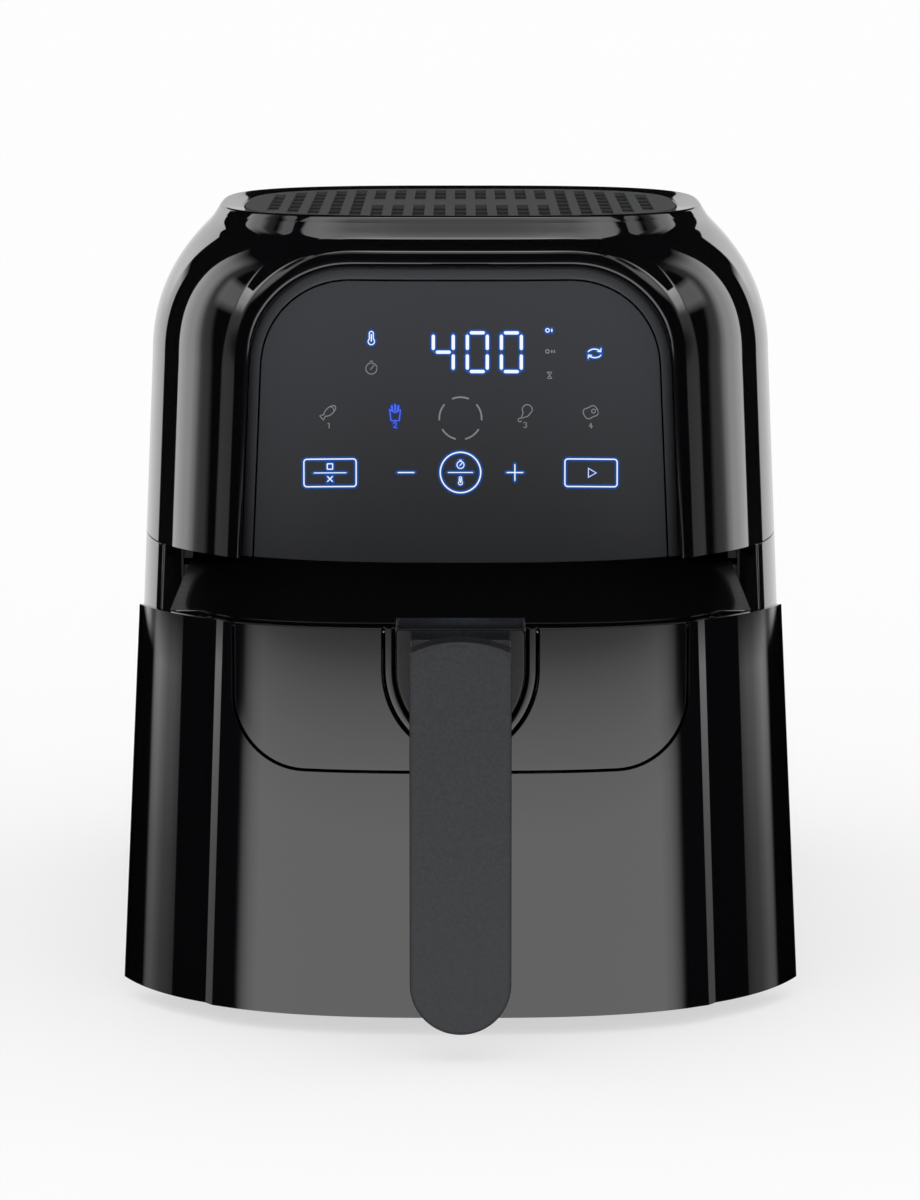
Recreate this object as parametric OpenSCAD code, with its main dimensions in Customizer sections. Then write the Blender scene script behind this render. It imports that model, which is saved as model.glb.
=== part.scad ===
// Drawer air fryer: moulded housing over a pull-out pan, with fan, heater and touch panel.
// Frame: origin at the centre of the body's footprint on the surface it stands on,
// +Z up, -Y towards the user. The drawer is drawn pulled out by drawer_pull.

/* [Body] */
// Height of the top rim's crest above the surface
total_h = 306.3; // [300:0.1:312]
// Width of the body at the joint between the upper and the lower housing
body_w = 282; // [278:1:288]
// Depth of the body at that joint
body_d = 285; // [281:1:291]
// Squareness of the outline: 2 is an ellipse, 4 is nearly a square
body_n = 2.6; // [2.5:0.05:2.8]
// Height of the joint between the two housings
joint_z = 161.2; // [159:0.1:163]
// How much the walls spread for each millimetre downwards
draft = 0.044; // [0.035:0.001:0.05]
// Thickness of the moulded walls
wall = 2.6; // [2:0.1:3]

/* [Top] */
// Radius of the shoulder
shoulder_r = 76; // [72:1:78]
// Half width of the collar that carries the top rim
collar_half = 108.4; // [106:0.1:110]
// Half width of the opening that holds the grille
grille_half = 95.9; // [94:0.1:97]
// Distance between two columns of grille slots
slot_pitch = 8.4; // [8:0.1:9]
// Width of a grille slot
slot_w = 4.2; // [3:0.1:5]

/* [Control panel] */
// Half width of the panel recess at the joint
panel_half = 93.9; // [92:0.1:95]
// Height of the panel recess's top edge
panel_top = 286; // [284:0.5:288]
// Radius of the recess's upper corners
panel_r = 44; // [40:1:48]
// Depth of the panel behind the hood
panel_depth = 4; // [3:0.1:5]
// Width of the frame round the touch glass
bezel_w = 4.9; // [4:0.1:6]

/* [Drawer] */
// How far the drawer is drawn pulled out
drawer_pull = 164.5; // [150:0.5:175]
// Height of the lower edge of the drawer front
drawer_low = 7; // [6.8:0.1:9]
// Gap between the drawer front and the upper housing when closed
drawer_gap = 1.2; // [1:0.1:2]
// Half width of the pan's opening
pan_half = 112; // [108:0.5:113]
// Half depth of the pan's opening
pan_deep = 114; // [110:0.5:115]
// Height of the pan's floor
pan_floor = 22; // [20:1:30]

/* [Handle] */
// Width of the grip
grip_w = 38.8; // [36:0.1:42]
// Thickness of the grip
grip_t = 17; // [15:0.5:19]
// Distance from the drawer front to the front face of the grip
grip_reach = 45; // [42:0.5:48]
// Height of the grip's lowest point
grip_low = 11; // [9:0.5:14]

/* [Hidden] */
$fn = 48;
eps = 0.01;
ring_n = 80;           // points round one outline of the housings
half_w = body_w / 2;
half_d = body_d / 2;
foot_h = 3;
base_z = foot_h;       // underside of the base plate
base_t = 2.8;
clear = 0.3;           // running clearance between moving pieces
side_edge = -76.5;     // where the lower housing's side walls end at the front
shoulder_z = total_h - 65.3;
cove_z = total_h - 7;
collar_z = total_h - 4.8;
seat_z = total_h - 5.2;      // ledge under the grille plate
hood_flank = 7;
hood_edge = 6.6;       // from the panel recess to the middle of the hood's flank
proud = 1.1;           // how far the centre panels stand forward of the columns at their edges
drawer_top = joint_z - drawer_gap;
crease_half = 92.9;    // half width of the drawer's centre panel at its top
crease_w = 2.9;
crease_flare = 0.035;
pan_y = 4.5;           // centre of the pan with the drawer closed
pan_n = 3.7;
pan_top = 154;
pan_t = 1.5;
flange_half = 118;
tray_z = pan_floor + 17;
bracket_y = -half_d + 24;    // rear of the handle's block, where the pan's bracket lies
backing_y = -81.5;     // inner panel of the drawer front
rail_z = pan_top - 2 - clear;  // top of the guide rails, just under the pan's flange
roof_z = 250;          // roof of the oven chamber
heater_in = 70;        // radii of the heater's two turns
heater_out = 84;
insert_half = 88.5;
insert_low = 104.4;
insert_r = 27;
insert_gap = 1.1;
u_half = 30.6;         // half width of the handle's recess
u_z = 144;             // height where its straight sides end
u_drop = 34;           // how far its rounded end reaches below that
block_half = 25.2;
fan_y = pan_y;
heater_z = 226;
fan_z = 240;

// ---- Outlines and lofts ----

// Signed power, for superellipse points.
function spow(v, e) = sign(v) * pow(abs(v), e);
// Point on a superellipse; u = 0 is the front centre and u grows towards +X.
function se_pt(u, a, b, n) = [a * spow(sin(u), 2 / n), -b * spow(cos(u), 2 / n)];
function se_ring(a, b, n, z, y0 = 0) =
    [for (i = [0:ring_n - 1]) let (p = se_pt(i * 360 / ring_n, a, b, n)) [p[0], p[1] + y0, z]];
// The drafted body surface: how far it stands out at height z, inset by t.
function spread(z) = (joint_z - z) * draft;
function body_ring(z, t = 0) = se_ring(half_w + spread(z) - t, half_d + spread(z) - t, body_n, z);
// Depth of the body's outline at a distance x from its middle.
function body_y(x, z, t = 0) = let (a = half_w + spread(z) - t, b = half_d + spread(z) - t)
    b * pow(max(0, 1 - pow(abs(x) / a, body_n)), 1 / body_n);
// Half width of the body's outline at a distance y from its middle.
function body_x(y, z, t = 0) = let (a = half_w + spread(z) - t, b = half_d + spread(z) - t)
    a * pow(max(0, 1 - pow(abs(y) / b, body_n)), 1 / body_n);
function smooth(v) = let (c = min(1, max(0, v))) c * c * (3 - 2 * c);

// Solid skinned over rings that have equal numbers of points, closed by two flat ends.
module loft(rings) {
    n = len(rings[0]);
    m = len(rings);
    pts = [for (r = rings) each r];
    sides = [for (k = [0:m - 2], i = [0:n - 1]) let (j = (i + 1) % n)
        each [[k * n + i, (k + 1) * n + i, k * n + j], [k * n + j, (k + 1) * n + i, (k + 1) * n + j]]];
    ends = [[for (i = [0:n - 1]) i], [for (i = [n - 1:-1:0]) (m - 1) * n + i]];
    polyhedron(pts, concat(sides, ends));
}

// Closed tube: the last ring joins the first again, so it has no ends.
module tube_loft(rings) {
    n = len(rings[0]);
    m = len(rings);
    pts = [for (r = rings) each r];
    polyhedron(pts, [for (k = [0:m - 1], i = [0:n - 1]) let (j = (i + 1) % n, q = (k + 1) % m)
        each [[k * n + i, q * n + i, k * n + j], [k * n + j, q * n + i, q * n + j]]]);
}

// Wall that follows the body's outline between two heights and two insets.
module body_wall(z0, z1, t0, t1) {
    tube_loft([body_ring(z0, t0), body_ring(z1, t0), body_ring(z1, t1), body_ring(z0, t1)]);
}

// The same wall with its front standing proud like the drawer's centre panel.
function proud_ring(z, t) = [for (p = body_ring(z, t))
    [p[0], p[1] - (p[1] < 0 ? proud * smooth(abs(p[0]) / crease(z)) : 0), z]];
module proud_wall(z0, z1, t0, t1) {
    tube_loft([proud_ring(z0, t0), proud_ring(z1, t0), proud_ring(z1, t1), proud_ring(z0, t1)]);
}

// Flat outline of the body at height z, inset by t.
module body_outline(z, t) {
    polygon([for (p = body_ring(z, t)) [p[0], p[1]]]);
}

// Upright arch outline (X, Z) with rounded upper corners and drafted sides.
module arch(half, top, r, low = joint_z) {
    lean = (top - r - low) * draft;
    hull() {
        for (s = [-1, 1]) translate([s * (half - lean - r), top - r]) circle(r, $fn = 96);
        polygon([[-half, low], [half, low], [half - lean, top - r], [lean - half, top - r]]);
    }
}

// Extrude an (X, Z) outline backwards along Y from y0 to y1.
module upright(y0, y1) {
    translate([0, y1, 0]) rotate([90, 0, 0]) linear_extrude(y1 - y0) children();
}

// ---- Housing shells ----

// Inset of the shoulder at height z: drafted wall, round shoulder, slope and cove.
function shoulder_in(z) =
    let (base = (shoulder_z - joint_z) * draft,
         s45 = shoulder_z + shoulder_r * sin(45),
         slope_in = base + shoulder_r * (1 - cos(45)),
         cove_in = half_w - collar_half - 2)
    z <= shoulder_z ? (z - joint_z) * draft
    : z <= s45 ? base + shoulder_r - sqrt(pow(shoulder_r, 2) - pow(z - shoulder_z, 2))
    : z <= cove_z ? slope_in + (cove_in - slope_in) * (z - s45) / (cove_z - s45)
    : half_w - collar_half;
// The outline grows squarer from the shoulder up to the rim.
function ring_exp(z) = body_n + 0.5 * smooth((z - shoulder_z) / (collar_z - shoulder_z));
// Distance of a front point (x, z) inside the hood's arch.
function arch_in(x, z, half, top, r) =
    let (qx = abs(x) - (half - (z - joint_z) * draft - r), qz = z - (top - r))
    r - norm([max(qx, 0), max(qz, 0)]) - min(max(qx, qz), 0);
// One ring of the upper housing at height z: shoulder outline with the hood blended into its front.
function upper_ring(z, t = 0) = let (d = shoulder_in(z) + t, n = ring_exp(z), f = spread(z) - t)
    [for (i = [0:ring_n - 1])
        let (u = i * 360 / ring_n,
             s = se_pt(u, half_w - d, half_d - d, n),
             q = se_pt(u, half_w + f, half_d + f, body_n),
             g = arch_in(q[0], z, panel_half + hood_edge - t, panel_top + 9.5 - t, panel_r + hood_edge),
             w = q[1] < 0 ? smooth((g + hood_flank / 2) / hood_flank) : 0,
             side = smooth((half_w - abs(q[0])) / 30),
             shift = q[1] < 0 ? proud * (1 - 2 * w) * side * smooth(abs(q[0]) / panel_half) : 0)
        [s[0] + (q[0] - s[0]) * w, s[1] + (q[1] - s[1]) * w + shift, z]];
function rim_ring(half, z) = se_ring(half, half - 1.5, body_n + 0.5, z);

upper_z = [joint_z, 200, shoulder_z, 252, 262, 270, 276, 281, 285, 288, 290.5, 292.5, 294, 295.5, 297];
inner_z = [294, 290, 284, 276, 262, shoulder_z, joint_z];

module upper_housing() {
    color("#0c0c0e") difference() {
        tube_loft(concat(
            [for (z = upper_z) upper_ring(z)],
            [rim_ring(collar_half + 0.7, collar_z - 2.4), rim_ring(collar_half, collar_z),
             rim_ring(collar_half - 0.5, total_h - 2), rim_ring(collar_half - 1.1, total_h - 0.6),
             rim_ring(collar_half - 2.5, total_h), rim_ring(grille_half + 1.2, total_h - 1.3),
             rim_ring(grille_half, total_h - 2.2), rim_ring(grille_half, seat_z),
             rim_ring(grille_half - 3.4, seat_z), rim_ring(grille_half - 3.4, seat_z - 2.2),
             rim_ring(collar_half - 5, seat_z - 2.4)],
            [for (z = inner_z) upper_ring(z, wall)]));
        // opening for the control panel
        upright(-half_d - 20, -80) arch(panel_half, panel_top, panel_r, joint_z - 1);
        // opening for the air outlet at the back
        translate([-52, half_d - 30, 196]) cube([104, 60, 52]);
    }
}

gland_z = 34;
// Tilt what is drawn at y = 0 so that it lies along the drafted rear wall at height z.
module rear_leaning(z) {
    translate([0, half_d + spread(z), z]) rotate([atan(draft), 0, 0]) children();
}

base_screw_xy = [[-133, 0], [133, 0], [-50, 134], [50, 134]];

module lower_housing() {
    low = base_z + base_t;
    color("#0c0c0e") difference() {
        union() {
            body_wall(low, joint_z, 0, wall);
            // screw bosses with a rib to the wall
            for (s = base_screw_xy) translate([s[0], s[1], low]) {
                cylinder(r = 4.5, h = 22);
                translate([s[1] == 0 ? (s[0] > 0 ? 0 : -13) : -1, s[1] == 0 ? -1 : 0, 0])
                    cube([s[1] == 0 ? 13 : 2, s[1] == 0 ? 2 : 11, 22]);
            }
            // front edge folded inwards towards the bay's liner
            for (s = [-1, 1]) upright(side_edge, side_edge + 2)
                polygon([[s * 122.3, low], [s * (body_x(side_edge, low) - 1.5), low],
                    [s * (body_x(side_edge, joint_z) - 1.5), joint_z], [s * 122.3, joint_z]]);
        }
        // open front, closed by the drawer
        translate([-half_w - 20, -half_d - 40, -1]) cube([body_w + 40, half_d + 40 + side_edge, joint_z + 10]);
        rear_leaning(gland_z) translate([0, -20, 0]) rotate([-90, 0, 0]) cylinder(r = 8, h = 40);
        for (s = base_screw_xy) translate([s[0], s[1], low - 1]) cylinder(r = 1.95, h = 18);
    }
}

module base_plate() {
    color("#151517") difference() {
        union() {
            translate([0, 0, base_z]) linear_extrude(base_t) body_outline(base_z, 1.2);
            // stiffening ribs below
            for (x = [-60, -30, 0, 30, 60]) translate([x - 1, -70, base_z - 1.2]) cube([2, 150, 1.3]);
        }
        for (x = [-88, 88], y = [-88, 88]) translate([x, y, base_z - 1]) cylinder(r = 3.2, h = base_t + 2);
        for (s = base_screw_xy) translate([s[0], s[1], base_z - 1]) cylinder(r = 2.1, h = base_t + 2);
    }
}

module base_screws() {
    color("#5a5b5e") for (s = base_screw_xy) translate([s[0], s[1], base_z - 1.6]) {
        cylinder(r = 3.6, h = 1.6);
        cylinder(r = 1.9, h = 14);
    }
}

module rubber_feet() {
    color("#1d1d1f") for (x = [-88, 88], y = [-88, 88]) translate([x, y, 0]) {
        cylinder(r1 = 9, r2 = 10, h = foot_h);
        cylinder(r = 3.1, h = foot_h + base_t + 0.6);
        translate([0, 0, foot_h + base_t + 0.05]) cylinder(r = 4.4, h = 1.2);
    }
}

// Matte plate with columns of slots. Each column is a shallow groove with holes in its floor,
// and the nine middle columns are parted by a solid bar.
module top_grille() {
    plate_half = grille_half - clear;
    row_pitch = 21;
    hole_l = 15;
    rows = 8;
    bar_row = 3;
    color("#39393b") translate([0, 0, seat_z]) {
        linear_extrude(1.3) difference() {
            grille_outline(plate_half);
            for (c = [-9:9], k = [0:rows - 1])
                if (slot_fits(c, k, rows, row_pitch) && !(abs(c) <= 4 && k == bar_row))
                    translate([c * slot_pitch - slot_w / 2, (k - (rows - 1) / 2) * row_pitch - hole_l / 2])
                        square([slot_w, hole_l]);
        }
        translate([0, 0, 1.3]) linear_extrude(0.9) difference() {
            grille_outline(plate_half);
            for (c = [-9:9], half = abs(c) <= 4 ? [0, 1] : [2]) {
                n = len([for (k = [0:rows - 1]) if (slot_fits(c, k, rows, row_pitch)) k]);
                y0 = half == 1 ? (bar_row + 0.5 - (rows - 1) / 2) * row_pitch + 3 : -n / 2 * row_pitch + 3;
                y1 = half == 0 ? (bar_row - 0.5 - (rows - 1) / 2) * row_pitch - 3 : n / 2 * row_pitch - 3;
                translate([c * slot_pitch - slot_w / 2, y0]) square([slot_w, y1 - y0]);
            }
        }
    }
}
function slot_fits(c, k, rows, pitch) = let (y = abs(k - (rows - 1) / 2) * pitch + pitch / 2 - 3)
    pow(abs(c * slot_pitch) / 84, 3) + pow(y / 86, 3) < 1.02;
module grille_outline(half) {
    polygon([for (p = se_ring(half, half - 1.5, body_n + 0.5, 0)) [p[0], p[1]]]);
}

// ---- Control panel ----

module panel_bezel() {
    low = joint_z + 0.4;
    color("#3a3b3f") intersection() {
        body_wall(low, panel_top + 2, panel_depth, panel_depth + 3.8);
        upright(-half_d - 5, -60) difference() {
            arch(panel_half, panel_top, panel_r, joint_z - 1);
            arch(panel_half - bezel_w, panel_top - bezel_w, panel_r - bezel_w, joint_z - 2);
        }
    }
    // ledge behind the edge of the glass
    color("#3a3b3f") intersection() {
        body_wall(low, panel_top + 2, panel_depth + 2.4, panel_depth + 3.8);
        upright(-half_d - 5, -60) difference() {
            arch(panel_half - 1, panel_top - 1, panel_r - 1);
            arch(panel_half - bezel_w - 4, panel_top - bezel_w - 4, panel_r - bezel_w - 4, joint_z - 2);
        }
    }
}

module touch_panel() {
    groove = 0.6;
    inset = bezel_w + groove;
    color("#2f3033") intersection() {
        body_wall(joint_z + 0.4, panel_top + 2, panel_depth, panel_depth + 2.4);
        upright(-half_d - 5, -60) arch(panel_half - inset, panel_top - inset, panel_r - inset);
    }
}

// Circuit board with the number display and the touch springs behind the glass.
module display_board() {
    y = -118;
    color("#2d5a3a") translate([-66, y - 1.6, 182]) cube([132, 1.6, 90]);
    color("#1a1a1c") translate([-28, y - 12.2, 232]) cube([56, 10.7, 28]);
    color("#b9bcc0") for (i = [-2:2]) translate([i * 26, y - 1.5, 200]) rotate([90, 0, 0]) cylinder(r = 4, h = 5);
    // posts that hold the board to the back of the glass
    color("#1a1a1c") for (x = [-60, 60], z = [192, 246]) translate([x, y - 1.5, z]) rotate([90, 0, 0])
        cylinder(r = 3, h = body_y(abs(x) + 3, z + 3, panel_depth + 2.45) + y - 1.5);
}

// ---- Back ----

module rear_vent() {
    color("#151517") intersection() {
        body_wall(190, 254, 0.4, wall + 1.6);
        upright(80, half_d + 5) difference() {
            translate([-52, 196]) square([104, 52]);
            for (i = [0:6]) translate([-46, 200.5 + i * 6.4]) square([92, 3.6]);
        }
    }
}

// Bush through which the mains lead passes.
module cord_gland() {
    color("#1a1a1c") rear_leaning(gland_z) translate([0, -wall - 1.85, 0]) rotate([-90, 0, 0]) difference() {
        union() {
            cylinder(r = 7.8, h = wall + 3.25);
            translate([0, 0, wall + 1.9]) cylinder(r = 10.5, h = 2);
            cylinder(r = 10, h = 1.55);
        }
        translate([0, 0, -1]) cylinder(r = 3.6, h = 20);
    }
}

// ---- Oven chamber ----

function pan_ring(grow, z) = se_ring(pan_half + grow, pan_deep + grow, pan_n, z, pan_y);

// Pressed steel hood over the pan, open below. Its flange is the ceiling of the drawer's bay.
module chamber_liner() {
    flange_z = joint_z + 1;
    color("#8d8f92") difference() {
        union() {
            loft([pan_ring(5, flange_z), pan_ring(3, 200), pan_ring(-8, 238), pan_ring(-20, roof_z)]);
            translate([0, 0, flange_z]) linear_extrude(1) union() {
                body_outline(joint_z, panel_depth + 3.9);
                intersection() {
                    body_outline(joint_z, wall + 0.3);
                    translate([-160, -70]) square([320, 300]);
                }
            }
        }
        loft([pan_ring(4, flange_z - 1), pan_ring(4, flange_z), pan_ring(2, 200), pan_ring(-9, 237),
            pan_ring(-21, roof_z - 1)]);
        translate([0, fan_y, roof_z - 4]) cylinder(r = 6, h = 8);
        for (p = heater_ends) translate([p[0], fan_y + p[1], roof_z - 4]) cylinder(r = 3.4, h = 8);
        translate([probe_xy[0], probe_xy[1], roof_z - 4]) cylinder(r = 2.1, h = 8);
    }
}

// Sheet metal wall round the drawer's bay, open at the front.
module bay_liner() {
    low = base_z + base_t;
    color("#8d8f92") difference() {
        translate([0, 0, low]) linear_extrude(joint_z + 1 - low) difference() {
            bay_outline(1);
            bay_outline(0);
            translate([-160, -160]) square([320, 160 + side_edge + 1]);
        }
        // hole for the switch's plunger
        translate([0, 110, 146]) rotate([-90, 0, 0]) cylinder(r = 2.6, h = 30);
    }
}
module bay_outline(grow) {
    intersection() {
        body_outline(joint_z, wall + 1.3 - grow);
        translate([-121 - grow, -160]) square([242 + 2 * grow, 160 + 125.5 + grow]);
    }
}

// Floor of the bay: a shallow tray turned upside down on the base plate.
module bay_floor() {
    low = base_z + base_t;
    color("#8d8f92") difference() {
        translate([0, 0, low]) linear_extrude(7) floor_outline(0);
        translate([0, 0, low - 1]) linear_extrude(7) floor_outline(1);
    }
}
module floor_outline(inset) {
    intersection() {
        offset(delta = -0.6 - inset) bay_outline(0);
        translate([-160, side_edge + 2.5 + inset]) square([320, 300]);
    }
}

// Rail under one side of the pan's flange, with a keeper above that stops the drawer tipping.
module guide_rail(side) {
    inner = 114.8;
    color("#232325") for (k = [[rail_z - 4, inner, 4], [pan_top + 0.6, 117, 5]])
        translate([side > 0 ? k[1] : -121, side_edge + 2.5, k[0]]) cube([121 - k[1], 130, k[2]]);
}
module guide_rail_left() { guide_rail(-1); }
module guide_rail_right() { guide_rail(1); }

// Tubular heater: two turns on one level, linked at one end, with two cold ends through the roof.
heater_ends = [[heater_in * cos(72), heater_in * sin(72)], [heater_out * cos(68), heater_out * sin(68)]];
module heating_element() {
    tube_r = 3.2;
    color("#4b4c50") translate([0, fan_y, heater_z]) {
        rotate([0, 0, 108]) rotate_extrude(angle = 324) translate([heater_in, 0]) circle(tube_r, $fn = 24);
        rotate([0, 0, 110]) rotate_extrude(angle = 318) translate([heater_out, 0]) circle(tube_r, $fn = 24);
        rotate([0, 0, 110]) translate([heater_in - 3, 0, 0]) rotate([0, 90, 0])
            cylinder(r = tube_r - 0.1, h = heater_out - heater_in + 6);
        for (p = heater_ends) translate([p[0], p[1], -3]) cylinder(r = 3.1, h = roof_z - heater_z + 15);
    }
}

// Wire guard below the fan and the heater, its rods reaching the chamber's walls.
module element_guard() {
    wire = 1.2;
    rods = [[0, 108], [45, 126.5], [90, 110], [135, 126.5]];
    color("#a9abae") translate([0, fan_y, heater_z - 9]) {
        for (r = [16 : 14 : 100]) rotate_extrude() translate([r, 0]) circle(wire, $fn = 8);
        for (k = rods) rotate([0, 0, k[0]]) translate([-k[1], 0, 1.8]) rotate([0, 90, 0])
            cylinder(r = wire, h = 2 * k[1], $fn = 8);
    }
}

probe_xy = [78, 56];
module temperature_probe() {
    color("#c4c6c9") translate([probe_xy[0], probe_xy[1], 216]) {
        cylinder(r = 2, h = 44);
        translate([0, 0, roof_z - 216]) cylinder(r = 5, h = 3, $fn = 6);
    }
}

module thermal_cutout() {
    color("#d8d4c8") translate([-40, fan_y - 58, roof_z]) {
        cylinder(r = 9, h = 1.2);
        translate([0, 0, 1.2]) cylinder(r = 7.5, h = 7);
        for (s = [-1, 1]) translate([s * 4 - 1, -0.4, 8.2]) cube([2, 0.8, 7]);
    }
}

// ---- Fan and motor ----

module motor_plate() {
    color("#7d7f83") translate([0, fan_y, 264]) difference() {
        linear_extrude(1.5) difference() {
            square([120, 84], center = true);
            for (x = [-52, 52], y = [-34, 34]) translate([x, y]) circle(2.2);
        }
        translate([0, 0, -1]) cylinder(r = 12, h = 4);
        for (a = [45:90:315]) rotate([0, 0, a]) translate([24, 0, -1]) cylinder(r = 2, h = 4);
    }
}

module motor_posts() {
    color("#7d7f83") for (x = [-52, 52], y = [-34, 34]) translate([x, fan_y + y, 250]) {
        cylinder(r = 4, h = 14);
        cylinder(r = 2, h = 18);
        translate([0, 0, 15.5]) cylinder(r = 3.6, h = 2.4, $fn = 6);
    }
}

// Motor can with its laminated core and end bearing.
module fan_motor() {
    color("#9fa1a5") translate([0, fan_y, 265.5]) difference() {
        union() {
            cylinder(r = 32, h = 4);
            translate([-24, -30, 4]) cube([48, 60, 12]);
            translate([0, 0, 16]) cylinder(r = 22, h = 5);
            translate([0, 0, -4]) cylinder(r = 9, h = 4);
        }
        translate([0, 0, -6]) cylinder(r = 3.05, h = 40);
        for (a = [45:90:315]) rotate([0, 0, a]) translate([24, 0, -1]) cylinder(r = 2, h = 8);
    }
}

module motor_screws() {
    color("#c4c6c9") for (a = [45:90:315]) translate([0, fan_y, 0]) rotate([0, 0, a]) translate([24, 0, 262.2]) {
        cylinder(r = 1.8, h = 8);
        cylinder(r = 3.2, h = 1.75);
    }
}

module motor_shaft() {
    color("#c4c6c9") translate([0, fan_y, 228]) {
        cylinder(r = 3, h = 62);
    }
}

// Pressed convection fan: a disc with eight upright vanes bent from its rim.
module convection_fan() {
    vanes = 10;
    color("#b4b6ba") translate([0, fan_y, fan_z - 5]) {
        difference() {
            union() {
                cylinder(r = 56, h = 1.2);
                cylinder(r = 8, h = 7);
            }
            translate([0, 0, -1]) cylinder(r = 3.05, h = 12);
        }
        for (i = [0:vanes - 1]) rotate([0, 0, i * 360 / vanes]) translate([24, 0, -8.5])
            rotate([0, 0, 24]) cube([32, 1.2, 8.5 + eps]);
    }
}

module fan_nut() {
    color("#c4c6c9") translate([0, fan_y, fan_z - 11.1]) difference() {
        cylinder(r = 6, h = 6, $fn = 6);
        translate([0, 0, -1]) cylinder(r = 3.02, h = 10);
    }
}

// Plastic fan above the motor that pulls air in through the grille.
module cooling_fan() {
    blades = 8;
    color("#2a2a2c") translate([0, fan_y, 287.2]) {
        difference() {
            cylinder(r = 10, h = 8);
            translate([0, 0, -1]) cylinder(r = 3.05, h = 7);
        }
        for (i = [0:blades - 1]) rotate([0, 0, i * 360 / blades]) translate([9, -0.8, 1]) rotate([28, 0, 0])
            cube([28, 1.6, 7]);
    }
}

// ---- Electrics ----

module power_board() {
    x = 72;
    color("#3c6b45") translate([x, -52, roof_z + 6]) cube([1.6, 60, 32]);
    color("#1a1a1c") translate([x + 1.5, -46, roof_z + 14]) cube([15, 16, 16]);
    color("#2c5aa0") translate([x + 1.5, -20, roof_z + 20]) rotate([0, 90, 0]) cylinder(r = 5, h = 12);
    color("#d8c070") translate([x + 1.5, -10, roof_z + 14]) cube([12, 12, 14]);
    // feet on the chamber's roof
    color("#1a1a1c") for (y = [-50, 2]) translate([x - 1.2, y, roof_z]) cube([4, 4, 7]);
}

// Switch that stops the heater when the drawer is pulled out, and its plunger.
module interlock_switch() {
    color("#1a1a1c") difference() {
        translate([-10, 126.5, 140]) cube([20, 9.5, 12]);
        translate([0, 120, 146]) rotate([-90, 0, 0]) cylinder(r = 2.3, h = 15);
    }
}

module interlock_plunger() {
    color("#c8372d") translate([0, pan_y + pan_deep + 5 + clear, 146]) rotate([-90, 0, 0]) cylinder(r = 2, h = 7.4);
}

// ---- Drawer, drawn closed and then moved by drawer_pull ----

module pulled() {
    translate([0, -drawer_pull, 0]) children();
}

// Half width of the drawer's centre panel at height z.
function crease(z) = crease_half + (joint_z - z) * crease_flare;
// Front surface of the drawer at (x, z): the centre panel stands proud of the columns.
function drawer_y(x, z, t) =
    let (c = crease(z), ax = abs(x),
         s = ax <= c ? -proud * smooth(ax / c)
           : ax <= c + crease_w ? -proud + 2 * proud * (ax - c) / crease_w
           : proud * (1 - (ax - c - crease_w) / 40))
    -body_y(x, z, t) + max(-proud, s);
// Stations across the front, as x at height z: even steps in the centre, the crease, then the column.
function stations(z, t) = let (c = crease(z), e = edge_x(z, t))
    concat([for (k = [0:12]) c * k / 12], [for (k = [1:3]) c + crease_w * k / 3],
        [for (k = [1:14]) c + crease_w + (e - c - crease_w) * sin(k * 90 / 14)]);
// Where the outline reaches the side edge's plane.
function edge_x(z, t) = let (a = half_w + spread(z) - t, b = half_d + spread(z) - t)
    a * pow(1 - pow((-side_edge + 1) / b, body_n), 1 / body_n);
function front_line(z, t) = let (s = stations(z, t), last = len(s) - 1)
    concat([for (k = [last:-1:1]) [-s[k], drawer_y(s[k], z, t), z]],
        [for (k = [0:last]) [s[k], drawer_y(s[k], z, t), z]]);
// Wrapped front wall between two heights and two insets: a strip skinned over four lines.
module front_wall(z0, z1, t0, t1) {
    lines = [front_line(z0, t0), front_line(z1, t0), front_line(z1, t1), front_line(z0, t1)];
    n = len(lines[0]);
    polyhedron([for (l = lines) each l], concat(
        [for (k = [0:3], i = [0:n - 2]) let (q = (k + 1) % 4)
            each [[k * n + i, q * n + i, k * n + i + 1], [k * n + i + 1, q * n + i, q * n + i + 1]]],
        [[3 * n, 2 * n, n], [3 * n, n, 0], [n - 1, 2 * n - 1, 3 * n - 1], [n - 1, 3 * n - 1, 4 * n - 1]]));
}

module insert_outline(grow) {
    half = insert_half + grow;
    r = insert_r + grow;
    low = insert_low - grow;
    hull() {
        for (s = [-1, 1]) translate([s * (half - r), low + r]) circle(r, $fn = 72);
        translate([-half, drawer_top + 2]) square([2 * half, 2]);
    }
}

// U shape of the handle's recess: straight sides and a rounded lower end.
module u_outline(half, drop, top = drawer_top + 6) {
    polygon(concat([[half, top], [half, u_z]],
        [for (a = [6:6:174]) [half * cos(a), u_z - drop * sin(a)]],
        [[-half, u_z], [-half, top]]));
}

module drawer_front() {
    color("#0c0c0e") pulled() difference() {
        front_wall(drawer_low, drawer_top, 0, wall);
        upright(-half_d - 20, -90) insert_outline(insert_gap);
    }
}

// Panel let into the drawer front, with a lip behind it that bears on the wall round its window.
module front_insert() {
    lip = 5;
    low = insert_low - 12;
    color("#2a2b2e") pulled() difference() {
        union() {
            intersection() {
                proud_wall(low, drawer_top, 0, wall + 2);
                upright(-half_d - 20, -90) insert_outline(0);
            }
            intersection() {
                proud_wall(low, drawer_top, wall + 0.2, wall + 2);
                upright(-half_d - 20, -90) difference() {
                    insert_outline(lip);
                    translate([0, 2]) insert_outline(-1);
                }
            }
        }
        upright(-half_d - 20, -90) u_outline(u_half, u_drop);
    }
}

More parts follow.
